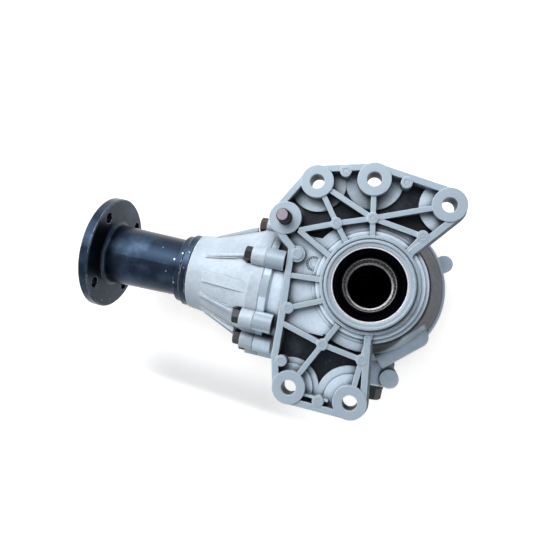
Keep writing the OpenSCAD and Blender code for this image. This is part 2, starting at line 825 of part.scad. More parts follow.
module front_bearing_cone() {
    front_bearing_place()
        bearing_cone(shaft_seat_r, input_bearing_r, input_bearing_w);
}

module rear_bearing_cup() {
    rear_bearing_place()
        bearing_cup(shaft_seat_r, input_bearing_r, input_bearing_w);
}

module rear_bearing_rollers() {
    rear_bearing_place()
        bearing_rollers(shaft_seat_r, input_bearing_r, input_bearing_w);
}

module rear_bearing_cage() {
    rear_bearing_place()
        bearing_cage(shaft_seat_r, input_bearing_r, input_bearing_w);
}

module rear_bearing_cone() {
    rear_bearing_place()
        bearing_cone(shaft_seat_r, input_bearing_r, input_bearing_w);
}

module head_bearing_cup() {
    head_bearing_place()
        bearing_cup(head_bore_r, head_bearing_r, head_bearing_w);
}

module head_bearing_rollers() {
    head_bearing_place()
        bearing_rollers(head_bore_r, head_bearing_r, head_bearing_w);
}

module head_bearing_cage() {
    head_bearing_place()
        bearing_cage(head_bore_r, head_bearing_r, head_bearing_w);
}

module head_bearing_cone() {
    head_bearing_place()
        bearing_cone(head_bore_r, head_bearing_r, head_bearing_w);
}

module tail_bearing_cup() {
    tail_bearing_place()
        bearing_cup(tail_bore_r, tail_bearing_r, tail_bearing_w);
}

module tail_bearing_rollers() {
    tail_bearing_place()
        bearing_rollers(tail_bore_r, tail_bearing_r, tail_bearing_w);
}

module tail_bearing_cage() {
    tail_bearing_place()
        bearing_cage(tail_bore_r, tail_bearing_r, tail_bearing_w);
}

module tail_bearing_cone() {
    tail_bearing_place()
        bearing_cone(tail_bore_r, tail_bearing_r, tail_bearing_w);
}

module shim(inner, outer, low, high) {
    color(steel_colour)
        rotate_extrude()
            polygon([[inner, low], [outer, low], [outer, high], [inner, high]]);
}

module front_bearing_shim() {
    shim(shim_inner_r, input_bearing_r, front_bearing_z, front_bearing_z + shim_t);
}

module rear_bearing_shim() {
    shim(shim_inner_r, input_bearing_r, rear_bearing_end - shim_t, rear_bearing_end);
}

module pinion_depth_shim() {
    on_pinion(0)
        shim(head_bore_r + seat_gap, hub_r, -pinion_back_x, -head_bearing_x);
}

// Lip seal, drawn along Z with its outer face at 0 and its body below.
module lip_seal(outer, shaft, depth) {
    lip = shaft + lip_gap;
    color(rubber_colour)
        rotate_extrude()
            polygon([[outer, -depth], [outer, 0], [outer - 1.5, 0], [outer - 2.2, -1.2], [lip + 3, -1.2],
                [lip, -2.4], [lip, -3.2], [lip + 2.2, -4.2], [lip, -6.4], [lip, -7], [lip + 3, -depth],
                [lip + 4, -depth], [lip + 3.2, -2.8], [outer - 1.6, -2.8], [outer - 1.6, -depth]]);
}

// Deep lip seal with a single long lip at its inner end.
module deep_seal(outer, shaft, depth) {
    lip = shaft + lip_gap;
    foot = depth - 0.5;
    color(rubber_colour)
        rotate_extrude()
            polygon([[outer, -depth], [outer, 0], [outer - 1.5, 0], [outer - 2.2, -1.2], [lip + 3.5, -1.6],
                [lip + 2.6, -6], [lip, 3.3 - depth], [lip, 2.5 - depth], [lip + 1.6, -foot],
                [lip + 2.8, -foot],
                [lip + 4.4, -6.5], [lip + 4.8, -3.2], [outer - 1.6, -3.2], [outer - 1.6, -depth]]);
}

module input_seal() {
    translate([0, 0, input_seal_z])
        deep_seal(seal_bore_r, shaft_nose_r, input_seal_depth);
}

module rear_seal() {
    translate([0, 0, -neck_z + 1])
        rotate([180, 0, 0])
            lip_seal(seal_bore_r, shaft_nose_r, seal_depth);
}

module pinion_seal() {
    on_pinion(-nose_x + 0.5)
        lip_seal(tail_bearing_r, sleeve_r, seal_depth);
}

module housing_o_ring() {
    color(rubber_colour)
        on_pinion(-o_ring_x)
            rotate_extrude()
                translate([spigot_r - o_ring_r, 0])
                    circle(r = o_ring_r, $fn = 24);
}

module dowel_place() {
    for (a = dowel_angles)
        rotate([0, 0, a])
            translate([(chamber_r + bell_r + 2) / 2, 0, joint_z])
                children();
}

module case_dowels() {
    color(steel_colour)
        dowel_place()
            cylinder(h = 2 * dowel_reach, r = dowel_r, center = true);
}

module plug(r, flats, length, head_h) {
    color(black_colour) {
        translate([0, 0, -length])
            cylinder(h = length + washer_h, r = r);
        translate([0, 0, washer_h]) {
            cylinder(h = 3, r = flats * 0.6);
            hexagon(flats, head_h);
        }
    }
}

module drain_place() {
    translate([drain_x, drain_y, drain_z])
        rotate([90, 0, 0])
            children();
}

module filler_place() {
    translate([filler_x, filler_y, axis_z])
        rotate([-90, 0, 0])
            children();
}

module drain_plug() {
    drain_place()
        plug(plug_r, plug_flats, plug_length, drain_head_h);
}

module drain_washer() {
    drain_place()
        shim(plug_r + 0.1, washer_r, 0, washer_h);
}

module filler_plug() {
    filler_place()
        plug(plug_r, plug_flats, plug_length, filler_head_h);
}

module filler_washer() {
    filler_place()
        shim(plug_r + 0.1, washer_r, 0, washer_h);
}

module breather() {
    color(steel_colour)
        translate([breather_x, breather_y, axis_z])
            rotate([-90, 0, 0]) {
                translate([0, 0, -8])
                    cylinder(h = 9, r = 4);
                hexagon(12, 6);
                cylinder(h = 12, r = 3.4);
                translate([0, 0, 9])
                    cylinder(h = 6, r = 6.5);
            }
}

module captive_bolt() {
    color(steel_colour)
        translate([stud_at[0], stud_at[1], 0]) {
            translate([0, 0, stud_seat_z])
                cylinder(h = 1 - stud_seat_z, r = stud_waist_r);
            cylinder(h = stud_h, r = stud_r);
            translate([0, 0, stud_h])
                cylinder(h = 3, r = stud_r - 1);
            translate([0, 0, stud_seat_z])
                rotate([180, 0, 0]) {
                    cylinder(h = 2, r = 9);
                    hexagon(14, 8);
                }
        }
}

module input_shaft() {
    flange_z = -ring_back_z;
    spline_r = shaft_bore_r + spline_step;
    spline_end = -shaft_mouth_z - spline_l;
    color(steel_colour)
        difference() {
            rotate_extrude()
                polygon([[shaft_bore_r, shaft_end_z], [shaft_nose_r, shaft_end_z],
                    [shaft_nose_r, rear_bearing_end - 0.5], [shaft_seat_r, rear_bearing_end - 0.5],
                    [shaft_seat_r, rear_bearing_z], [shaft_shoulder_r, rear_bearing_z],
                    [shaft_shoulder_r, flange_z - shaft_flange_t - 3],
                    [shaft_shoulder_r + 3, flange_z - shaft_flange_t],
                    [shaft_flange_r, flange_z - shaft_flange_t], [shaft_flange_r, flange_z],
                    [ring_pilot_r, flange_z], [ring_pilot_r, flange_z + 6], [ring_pilot_r - 1, flange_z + 7],
                    [shaft_shoulder_r + 2, flange_z + 12], [shaft_shoulder_r, flange_z + 24],
                    [shaft_shoulder_r, front_bearing_end], [shaft_seat_r, front_bearing_end],
                    [shaft_seat_r, front_bearing_z + 0.5], [shaft_nose_r, front_bearing_z + 0.5],
                    [shaft_nose_r, -shaft_mouth_z - 1], [shaft_nose_r - 1, -shaft_mouth_z],
                    [spline_r - 0.2, -shaft_mouth_z], [spline_r - 0.2, spline_end + 0.3],
                    [shaft_bore_r, spline_end - 1.5]]);
            translate([0, 0, -shaft_mouth_z - spline_lead])
                cylinder(h = spline_lead + cut, r1 = spline_r - 0.1, r2 = spline_r + spline_depth + cut);
            translate([0, 0, spline_end])
                linear_extrude(spline_l + cut)
                    polygon([for (i = [0:spline_teeth - 1], k = [0:3])
                        let (r = k == 0 || k == 3 ? spline_r : spline_r + spline_depth,
                            a = (i + [0.12, 0.26, 0.74, 0.88][k]) * 360 / spline_teeth)
                            r * [cos(a), sin(a)]]);
            for (i = [0:ring_bolts - 1])
                rotate([0, 0, i * 360 / ring_bolts])
                    translate([ring_bolt_circle_r, 0, flange_z - shaft_flange_t - cut])
                        cylinder(h = shaft_flange_t + 2 * cut, r = ring_bolt_r + 0.3);
        }
}

module ring_gear_bolts() {
    color(black_colour)
        for (i = [0:ring_bolts - 1])
            rotate([0, 0, i * 360 / ring_bolts])
                translate([ring_bolt_circle_r, 0, -ring_back_z - shaft_flange_t])
                    rotate([180, 0, 0])
                        flange_bolt(ring_bolt_r - 0.2, shaft_flange_t + 9, 10, ring_bolt_head_h);
}

// Four corners of a ring gear tooth's section at radius r. Grow widens each flank and lift raises the tip,
// for cutting the pinion's gaps.
function tooth_section(r, grow, lift) =
    let (m = module_at(r),
        half = PI * m / 4 - tooth_gap + grow,
        up = ring_addendum * m + lift,
        down = ring_dedendum * m + 0.3,
        turn = turn_at(r))
    [for (c = [[-half - down * flank_slope, -down], [half + down * flank_slope, -down],
            [half - up * flank_slope, up], [-half + up * flank_slope, up]])
        [r * cos(turn) - c[0] * sin(turn), r * sin(turn) + c[0] * cos(turn), pitch_z(r) + c[1]]];

module ring_tooth(grow = 0, lift = 0, over = 0) {
    last = tooth_stations - 1;
    for (i = [0:last - 1])
        hull()
            polyhedron(concat(tooth_section(station_r[i] - (i == 0 ? over : 0), grow, lift),
                tooth_section(station_r[i + 1] + (i + 1 == last ? over : 0), grow, lift)),
                [[0, 1, 2, 3], [4, 5, 6, 7], [0, 1, 5, 4], [1, 2, 6, 5], [2, 3, 7, 6], [3, 0, 4, 7]]);
}

module ring_gear() {
    root_in = pitch_z(ring_inner_r) - ring_dedendum * module_at(ring_inner_r);
    root_out = pitch_z(ring_outer_r) - ring_dedendum * module_at(ring_outer_r);
    color(steel_colour)
        difference() {
            union() {
                rotate_extrude($fn = 2 * ring_teeth)
                    polygon([[ring_pilot_r, -ring_back_z], [ring_outer_r - 1, -ring_back_z],
                        [ring_outer_r, -ring_back_z + 1], [ring_outer_r, root_out], [ring_inner_r, root_in],
                        [ring_inner_r - 2, root_in], [ring_pilot_r, root_in - 4]]);
                for (i = [0:ring_teeth - 1])
                    rotate([0, 0, mesh_angle + i * 360 / ring_teeth])
                        ring_tooth();
            }
            translate([0, 0, -ring_back_z - cut])
                cylinder(h = 30, r = ring_pilot_r + 0.08, $fn = 2 * ring_teeth);
            for (i = [0:ring_bolts - 1])
                rotate([0, 0, i * 360 / ring_bolts])
                    translate([ring_bolt_circle_r, 0, -ring_back_z - cut])
                        cylinder(h = 10 + cut, r = ring_bolt_r, $fn = 16);
        }
}

// What a ring gear tooth sweeps out of the pinion while the two roll together.
module pinion_gap() {
    for (phi = [-sweep_angle:sweep_step:sweep_angle])
        translate([0, axis_y, axis_z])
            rotate([ratio * phi, 0, 0])
                translate([0, -axis_y, -axis_z])
                    rotate([0, 0, mesh_angle + phi])
                        ring_tooth(grow = tooth_gap, lift = 0.25 * module_at(ring_mean_r), over = 4);
}

function surface_distance(x, lower) = min([for (y = [-pinion_offset - 4:0.5:8])
    norm([y + pinion_offset, pitch_z(norm([x, y])) - lower - axis_z])]);

module pinion_gear() {
    heel_x = axial(ring_outer_r) + 1;
    toe_x = axial(ring_inner_r) - 1;
    heel_r = surface_distance(heel_x, pinion_addendum * module_at(ring_outer_r));
    toe_r = surface_distance(toe_x, pinion_addendum * module_at(ring_inner_r));
    color(steel_colour)
        difference() {
            on_pinion(0)
                rotate_extrude($fn = 2 * pinion_teeth)
                    polygon([[0, toe_x], [toe_r - 1, toe_x], [toe_r, toe_x + 1], [heel_r, heel_x - 1],
                        [heel_r - 2, heel_x], [hub_r, heel_x + 2], [hub_r, -pinion_back_x],
                        [0, -pinion_back_x]]);
            for (k = [0:pinion_teeth - 1])
                translate([0, axis_y, axis_z])
                    rotate([k * 360 / pinion_teeth, 0, 0])
                        translate([0, -axis_y, -axis_z])
                            pinion_gap();
        }
}

module pinion_shaft() {
    color(steel_colour)
        on_pinion(0)
            rotate_extrude()
                polygon([[0, -pinion_back_x], [head_bore_r, -pinion_back_x],
                    [head_bore_r, -head_bearing_x + head_bearing_w + 12],
                    [tail_bore_r, -head_bearing_x + head_bearing_w + 15], [tail_bore_r, -sleeve_end_x],
                    [spline_shaft_r, -sleeve_end_x], [spline_shaft_r, -hub_end_x - 2],
                    [thread_r, -hub_end_x - 2], [thread_r, thread_end], [thread_r - 1, thread_end + 1],
                    [0, thread_end + 1]]);
}

module preload_spacer() {
    start = -head_bearing_x + head_bearing_w;
    end = -tail_bearing_x;
    wide = head_bore_r + seat_gap;
    narrow = tail_bore_r + seat_gap;
    t = 2.4;
    color(steel_colour)
        on_pinion(0)
            rotate_extrude()
                polygon([[wide, start], [wide + t, start], [wide + t, start + 10],
                    [wide + t + 3.5, start + 18], [wide + t + 3.5, start + 20], [wide + t, start + 28],
                    [narrow + t, end - 8], [narrow + t, end], [narrow, end], [narrow, end - 8.5],
                    [wide, start + 27.5], [wide + 3.5, start + 20], [wide + 3.5, start + 18],
                    [wide, start + 10.5]]);
}

module companion_flange() {
    inner = -sleeve_end_x;
    hub_end = -hub_end_x;
    root = flange_x - flange_t;
    color(black_colour)
        difference() {
            on_pinion(0)
                rotate_extrude()
                    polygon(concat([[spline_shaft_r + seat_gap, inner], [sleeve_r, inner],
                            [sleeve_r, nose_x + 2], [tube_r - 1, nose_x + 8], [tube_r, nose_x + 9],
                            [tube_r, nose_x + 15]],
                        arc([tube_end_r + 4, root - 4], 4, 180, 90, 4),
                        [[flange_r - 1, root], [flange_r, root + 1], [flange_r, flange_x - 1],
                            [flange_r - 1, flange_x], [flange_pilot_r + 1, flange_x],
                            [flange_pilot_r, flange_x - 1],
                            [flange_pilot_r, flange_x - flange_pilot_depth],
                            [tube_bore_r, flange_x - flange_pilot_depth], [tube_bore_r, hub_end],
                            [spline_shaft_r + seat_gap, hub_end]]));
            for (i = [0:3])
                on_pinion(-flange_x + flange_t + cut)
                    rotate([0, 0, 45 + 90 * i])
                        translate([flange_pcd / 2, 0, 0])
                            cylinder(h = flange_t + 2 * cut, r = flange_hole_r);
        }
}

module flange_washer() {
    on_pinion(hub_end_x)
        shim(spline_shaft_r - 2.6, 18, 0, washer_t);
}

module flange_nut() {
    color(steel_colour)
        on_pinion(hub_end_x - washer_t)
            difference() {
                union() {
                    hexagon(30, nut_h);
                    cylinder(h = 2, r = 17);
                    cylinder(h = nut_h + 2, r = 13);
                }
                translate([0, 0, -cut])
                    cylinder(h = nut_h + 4, r = thread_r + seat_gap);
            }
}

module dust_shield() {
    color(black_colour)
        on_pinion(0)
            rotate_extrude()
                polygon([[tube_r + seat_gap, nose_x + 11], [tube_r + seat_gap, nose_x + 14],
                    [shield_r - 2.5, nose_x + 14], [shield_r - 2.5, nose_x + 9], [shield_r, nose_x + 7],
                    [shield_r, nose_x + 1.2], [shield_r - 1.4, nose_x + 1.2], [shield_r - 1.4, nose_x + 6.4],
                    [shield_r - 3.9, nose_x + 8.4], [shield_r - 3.9, nose_x + 11]]);
}

main_case();
rear_cover();
rear_cover_bolts();
case_dowels();
pinion_housing();
pinion_housing_bolts();
housing_o_ring();
input_seal();
rear_seal();
pinion_seal();
drain_plug();
drain_washer();
filler_plug();
filler_washer();
breather();
captive_bolt();
front_bearing_cup();
front_bearing_rollers();
front_bearing_cage();
front_bearing_cone();
rear_bearing_cup();
rear_bearing_rollers();
rear_bearing_cage();
rear_bearing_cone();
head_bearing_cup();
head_bearing_rollers();
head_bearing_cage();
head_bearing_cone();
tail_bearing_cup();
tail_bearing_rollers();
tail_bearing_cage();
tail_bearing_cone();
front_bearing_shim();
rear_bearing_shim();
pinion_depth_shim();
preload_spacer();
input_shaft();
ring_gear();
ring_gear_bolts();
pinion_shaft();
pinion_gear();
companion_flange();
flange_washer();
flange_nut();
dust_shield();
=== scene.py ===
"""Dresses and lights a right-angle transfer case.

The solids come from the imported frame. This script gives every solid its finish, adds the fine pieces that the
solids leave out, and sets up a pale studio with the camera above the mounting face.
"""

from __future__ import annotations

import functools
import json
import logging
import math
from dataclasses import dataclass
from enum import Enum
from typing import Callable, Mapping, Protocol, Sequence, Union

import bmesh
import bpy
from mathutils import Matrix, Vector

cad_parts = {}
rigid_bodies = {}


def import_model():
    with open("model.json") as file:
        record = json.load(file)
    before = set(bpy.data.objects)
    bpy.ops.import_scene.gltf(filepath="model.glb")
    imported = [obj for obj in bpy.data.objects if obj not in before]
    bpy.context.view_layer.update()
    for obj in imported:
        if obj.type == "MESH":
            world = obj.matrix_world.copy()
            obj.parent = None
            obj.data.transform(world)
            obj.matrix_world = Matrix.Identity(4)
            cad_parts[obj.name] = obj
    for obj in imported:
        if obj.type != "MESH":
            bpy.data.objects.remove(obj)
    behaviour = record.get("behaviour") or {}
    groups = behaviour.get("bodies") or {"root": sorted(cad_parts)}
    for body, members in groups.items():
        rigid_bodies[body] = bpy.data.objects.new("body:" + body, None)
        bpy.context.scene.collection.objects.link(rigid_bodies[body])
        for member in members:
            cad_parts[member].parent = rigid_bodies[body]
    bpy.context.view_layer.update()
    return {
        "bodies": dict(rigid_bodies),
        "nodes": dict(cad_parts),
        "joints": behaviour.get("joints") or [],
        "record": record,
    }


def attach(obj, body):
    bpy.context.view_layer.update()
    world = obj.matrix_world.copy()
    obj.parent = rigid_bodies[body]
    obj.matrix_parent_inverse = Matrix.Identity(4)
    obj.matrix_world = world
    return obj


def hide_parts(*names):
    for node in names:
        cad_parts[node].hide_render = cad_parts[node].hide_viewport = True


LOG = logging.getLogger("transfer_case")
MM = 0.001
PER_METRE = 1000.0
SHARP_ANGLE = math.radians(28)
CHAMFER_FALL = math.tan(math.radians(30))
Colour = tuple[float, float, float]
Place = tuple[float, float, float]
Ring = Callable[[float], tuple[float, float]]


class Wire:
    """An output socket of a node tree that works in plain arithmetic."""

    def __init__(self, tree: Tree, socket: bpy.types.NodeSocket) -> None:
        """Keeps the tree and the socket.

        Args:
            tree: The tree that the socket belongs to.
            socket: The output socket.
        """
        self.tree = tree
        self.socket = socket

    def _maths(self, operation: str, *values: Value) -> Wire:
        """Adds one Math node and returns its result."""
        return self.tree.node("ShaderNodeMath", {"operation": operation}, dict(enumerate(values)))

    def __add__(self, other: Value) -> Wire:
        """Sum."""
        return self._maths("ADD", self, other)

    def __radd__(self, other: Value) -> Wire:
        """Sum with a number on the left."""
        return self._maths("ADD", other, self)

    def __sub__(self, other: Value) -> Wire:
        """Difference."""
        return self._maths("SUBTRACT", self, other)

    def __rsub__(self, other: Value) -> Wire:
        """Difference with a number on the left."""
        return self._maths("SUBTRACT", other, self)

    def __mul__(self, other: Value) -> Wire:
        """Product."""
        return self._maths("MULTIPLY", self, other)

    def __rmul__(self, other: Value) -> Wire:
        """Product with a number on the left."""
        return self._maths("MULTIPLY", other, self)

    def __pow__(self, other: Value) -> Wire:
        """Power."""
        return self._maths("POWER", self, other)

    def __rpow__(self, other: Value) -> Wire:
        """Power of a number on the left."""
        return self._maths("POWER", other, self)

    def sine(self) -> Wire:
        """Sine of a value in radians."""
        return self._maths("SINE", self)

    def size(self) -> Wire:
        """Value without its sign."""
        return self._maths("ABSOLUTE", self)

    def at_most(self, other: Value) -> Wire:
        """The smaller of the two."""
        return self._maths("MINIMUM", self, other)

    def at_least(self, other: Value) -> Wire:
        """The larger of the two."""
        return self._maths("MAXIMUM", self, other)

    def ramp(self, low: float, high: float, start: float = 0.0, end: float = 1.0) -> Wire:
        """Smooth step between two levels.

        Args:
            low: Level at which the step begins.
            high: Level at which the step ends.
            start: Result at the low level.
            end: Result at the high level.

        Returns:
            The stepped value.
        """
        settings = {"interpolation_type": "SMOOTHSTEP", "clamp": True}
        values = {"Value": self, "From Min": low, "From Max": high, "To Min": start, "To Max": end}
        return self.tree.node("ShaderNodeMapRange", settings, values)


Value = Union[Wire, float, int, str, Sequence[float]]
Axes = tuple[Wire, Wire, Wire]
Mask = Callable[["Shader", Axes], Wire]


def distance(x: Wire, y: Wire) -> Wire:
    """Distance from an axis along Z, from the two coordinates across it."""
    return (x * x + y * y) ** 0.5


class Tree:
    """A node tree and the one way in which its nodes are made."""

    COLOUR_SOCKETS = (6, 7)
    MIXED_COLOUR = 2

    def __init__(self, tree: bpy.types.NodeTree) -> None:
        """Keeps the tree and empties it.

        Args:
            tree: The tree of a material, of a world or of a geometry group.
        """
        self.nodes = tree.nodes
        self.links = tree.links
        self.nodes.clear()

    def make(
        self,
        kind: str,
        settings: Mapping[str, object] | None = None,
        values: Mapping[Union[int, str], Value] | None = None,
    ) -> bpy.types.Node:
        """Makes one node.

        Args:
            kind: The node's type.
            settings: Properties that are set before the sockets.
            values: Numbers or wires for the input sockets, by name or number.

        Returns:
            The node.
        """
        made = self.nodes.new(kind)
        for key, value in (settings or {}).items():
            setattr(made, key, value)
        for key, value in (values or {}).items():
            if isinstance(value, Wire):
                self.links.new(value.socket, made.inputs[key])
            else:
                made.inputs[key].default_value = value
        return made

    def node(
        self,
        kind: str,
        settings: Mapping[str, object] | None = None,
        values: Mapping[Union[int, str], Value] | None = None,
        out: Union[int, str] = 0,
    ) -> Wire:
        """Makes one node and takes one of its outputs.

        Args:
            kind: The node's type.
            settings: Properties that are set before the sockets.
            values: Numbers or wires for the input sockets, by name or number.
            out: Which output is returned.

        Returns:
            The output as a wire.
        """
        return Wire(self, self.make(kind, settings, values).outputs[out])

    def mix(self, share: Value, first: Value, second: Value) -> Wire:
        """Mixes two colours.

        Args:
            share: How much of the second colour there is.
            first: Colour at 0.
            second: Colour at 1.

        Returns:
            The mixed colour.
        """
        ends = {"Factor": share}
        for key, value in zip(self.COLOUR_SOCKETS, (first, second)):
            ends[key] = value if isinstance(value, Wire) else (*value, 1.0)
        return self.node("ShaderNodeMix", {"data_type": "RGBA"}, ends, self.MIXED_COLOUR)

    def looked_at(self) -> Wire:
        """Mask of the rays that show a thing to the eye: straight, in a gloss or through glass."""
        path = self.make("ShaderNodeLightPath")
        straight, glossy, through = (
            Wire(self, path.outputs[f"Is {kind} Ray"]) for kind in ("Camera", "Glossy", "Transmission")
        )
        return straight.at_least(glossy).at_least(through)


class Shader(Tree):
    """One material and the patterns that its colour, roughness and bumps are made of."""

    def __init__(self, name: str) -> None:
        """Makes an empty material.

        Args:
            name: The material's name.
        """
        self.material = bpy.data.materials.new(name)
        self.material.use_nodes = True
        super().__init__(self.material.node_tree)

    def point(self) -> Wire:
        """Object coordinates, in metres."""
        return self.node("ShaderNodeTexCoord", out="Object")

    def axes(self, point: Wire) -> Axes:
        """The three coordinates of a point, in millimetres."""
        made = self.make("ShaderNodeSeparateXYZ", values={"Vector": point})
        return tuple(Wire(self, made.outputs[i]) * PER_METRE for i in range(3))

    def noise(self, point: Wire, size: float, detail: float = 2.0, rough: float = 0.5) -> Wire:
        """Noise whose marks are about a given size.

        Args:
            point: Where the noise is read.
            size: Size of a mark in millimetres.
            detail: How many finer layers are added.
            rough: Strength of the finer layers.

        Returns:
            A value near 0.5 that varies from place to place.
        """
        values = {"Vector": point, "Scale": PER_METRE / size, "Detail": detail, "Roughness": rough}
        return self.node("ShaderNodeTexNoise", values=values)

    def cells(self, point: Wire, size: float) -> Wire:
        """Distance to the nearest of many scattered points, for pits and chips."""
        return self.node("ShaderNodeTexVoronoi", values={"Vector": point, "Scale": PER_METRE / size})

    def rounded(self, radius: float) -> tuple[Wire, Wire]:
        """A normal that is rounded at edges, and a mask of those edges.

        Args:
            radius: Radius of the rounding in millimetres.

        Returns:
            The rounded normal and a mask that is 1 on an edge.
        """
        soft = self.node("ShaderNodeBevel", {"samples": 4}, {"Radius": radius * MM})
        flat = self.node("ShaderNodeNewGeometry", out="True Normal")
        dot = {"operation": "DOT_PRODUCT"}
        match = self.node("ShaderNodeVectorMath", dot, {0: soft, 1: flat}, out="Value")
        return soft, (1.0 - match).ramp(0.015, 0.12)

    def shade(self, distance: float) -> Wire:
        """How open the surface is, from 0 deep in a corner to 1 out in the open."""
        settings = {"samples": 6, "only_local": False}
        return self.node("ShaderNodeAmbientOcclusion", settings, {"Distance": distance * MM}, out="AO")

    def bump(self, height: Wire, depth: float, normal: Wire) -> Wire:
        """A normal bent by a height.

        Args:
            height: The height as a share of the depth.
            depth: Depth of the marks in millimetres.
            normal: The normal that is bent.

        Returns:
            The bent normal.
        """
        values = {"Height": height, "Distance": depth * MM, "Strength": 1.0, "Normal": normal}
        return self.node("ShaderNodeBump", values=values)

    def finish(
        self, others: Mapping[str, Value], colour: Wire, rough: Value, normal: Wire
    ) -> bpy.types.Material:
        """Ends the tree in one Principled shader.

        Args:
            others: Further sockets, such as the share of metal.
            colour: Base colour.
            rough: Roughness.
            normal: The final normal.

        Returns:
            The finished material.
        """
        values = {**others, "Base Color": colour, "Roughness": rough, "Normal": normal}
        surface = self.node("ShaderNodeBsdfPrincipled", values=values)
        self.make("ShaderNodeOutputMaterial", values={"Surface": surface})
        return self.material


@dataclass(frozen=True)
class CastAluminium:
    """Die-cast aluminium: fine grain, cloudy grey, painted shade in corners, and edges lighter from wear and a
    painted highlight.

    The depth of the grain, the rounding of the edges and the reach of the painted corner shade are in
    millimetres.
    """

    name: str
    body: Colour = (0.54, 0.63, 0.73)
    pale: Colour = (0.63, 0.725, 0.82)
    # corner is the colour of the painted shade in corners and hollows.
    corner: Colour = (0.003, 0.006, 0.013)
    # edge is the lighter colour of open edges: partly wear, partly a painted highlight.
    edge: Colour = (0.74, 0.81, 0.87)
    cut: Colour = (0.305, 0.365, 0.425)
    # stain is the dark tone of real dirt in joints and scuffs, and of the painted shade in the pockets, below
    # the pilot ring and on the gear chamber.
    stain: Colour = (0.006, 0.01, 0.018)
    metal: float = 0.08
    gloss: float = 0.16
    rough: float = 0.44
    grain: float = 0.035
    near: float = 6.0
    reach: float = 30.0
    rounding: float = 1.1
    machined: Mask | None = None
    dirt_and_shade: Mask | None = None

    def material(self) -> bpy.types.Material:
        """Builds the material."""
        shader = Shader(self.name)
        point = shader.point()
        axes = shader.axes(point)
        normal, edges = shader.rounded(self.rounding)
        close = shader.shade(self.near)
        open_air = shader.shade(self.reach)
        cloud = shader.noise(point, 26.0, 3.0, 0.55)
        mottle = shader.noise(point, 3.2, 3.0, 0.6)
        grain = shader.noise(point, 0.8, 2.0, 0.6)
        streak = (cloud * 0.6 + mottle * 0.4).ramp(0.36, 0.64)
        colour = shader.mix(streak, self.body, self.pale)
        # Painted shade: corners and hollows are darkened towards the corner colour, the more closed in they
        # are.
        painted_shade = open_air.ramp(0.26, 0.62, 0.97, 0.0).at_least(close.ramp(0.42, 0.8, 0.75, 0.0))
        metal: Value = self.metal
        # This mask darkens towards the stain colour: real dirt, and on the main case also painted shade.
        if self.dirt_and_shade is not None:
            film = self.dirt_and_shade(shader, axes) * mottle.ramp(0.25, 0.5, 0.95, 1.0)
            colour = shader.mix(film, colour, self.stain)
            metal = (1.0 - film) * self.metal
        colour = shader.mix(painted_shade, colour, self.corner)
        # Open edges are lightened: partly wear, partly a painted highlight.
        worn = edges * open_air.ramp(0.3, 0.8) * mottle.ramp(0.3, 0.5)
        colour = shader.mix(worn * 0.9, colour, self.edge)
        rough = self.rough + (mottle - 0.5) * 0.2 - edges * 0.08
        height = grain * 0.55 + mottle * 0.45
        if self.machined is not None:
            cut = self.machined(shader, axes) * (1.0 - edges)
            colour = shader.mix(cut * open_air.ramp(0.3, 0.8, 0.2, 0.85), colour, self.cut)
            rough = rough - cut * 0.12
            height = height * (1.0 - cut * 0.85)
        bent = shader.bump(height, self.grain * 2.0, normal)
        return shader.finish({"Metallic": metal, "Specular IOR Level": self.gloss}, colour, rough, bent)


@dataclass(frozen=True)
class MachinedSteel:
    """Turned, ground or plated steel, with fine marks, a slight film, painted shade in hollows and painted
    highlights where a mask for them is given. Its sizes are in millimetres.
    """

    name: str
    body: Colour = (0.42, 0.42, 0.44)
    stain: Colour = (0.2, 0.19, 0.19)
    # The colour of the painted shade in hollows, deep in the bore and on the shaft's front.
    painted_shade_tone: Colour = (0.012, 0.011, 0.012)
    rough: float = 0.3
    lines: float = 0.35
    rounding: float = 0.5
    reach: float = 16.0
    lit: Callable[[Shader, Axes], tuple[Wire, Wire]] | None = None
    lit_colour: Colour = (1.0, 0.97, 1.0)

    def material(self) -> bpy.types.Material:
        """Builds the material."""
        shader = Shader(self.name)
        point = shader.point()
        axes = shader.axes(point)
        x, y, z = axes
        normal, edges = shader.rounded(self.rounding)
        film = shader.noise(point, 9.0, 3.0, 0.6)
        fine = shader.noise(point, 0.7, 2.0, 0.6)
        marks = ((x + y + z) * (math.tau / self.lines) + film * 5.0).sine() * 0.5 + 0.5
        # Painted shade: hollows are darkened, the more closed in they are.
        painted_shade = shader.shade(self.reach).ramp(0.12, 0.62, 1.0, 0.0)
        colour = shader.mix(film.ramp(0.4, 0.68), self.body, self.stain)
        colour = shader.mix(edges * 0.6, colour, tuple(min(1.0, c * 1.5) for c in self.body))
        colour = shader.mix(painted_shade, colour, self.painted_shade_tone)
        rough = self.rough + (film - 0.5) * 0.25 + fine * 0.06
        metal: Value = 1.0
        if self.lit is not None:
            bright, painted_shade_share = self.lit(shader, axes)
            # Painted shade on the shaft's front and deep in the bore, painted highlight on the step and the
            # teeth.
            colour = shader.mix(painted_shade_share, colour, self.painted_shade_tone)
            colour = shader.mix(bright, colour, self.lit_colour)
            rough = rough.at_least(painted_shade_share * 0.85)
            metal = 1.0 - bright
        bent = shader.bump(marks * 0.4 + fine * 0.6, 0.02, normal)
        return shader.finish({"Metallic": metal}, colour, rough, bent)


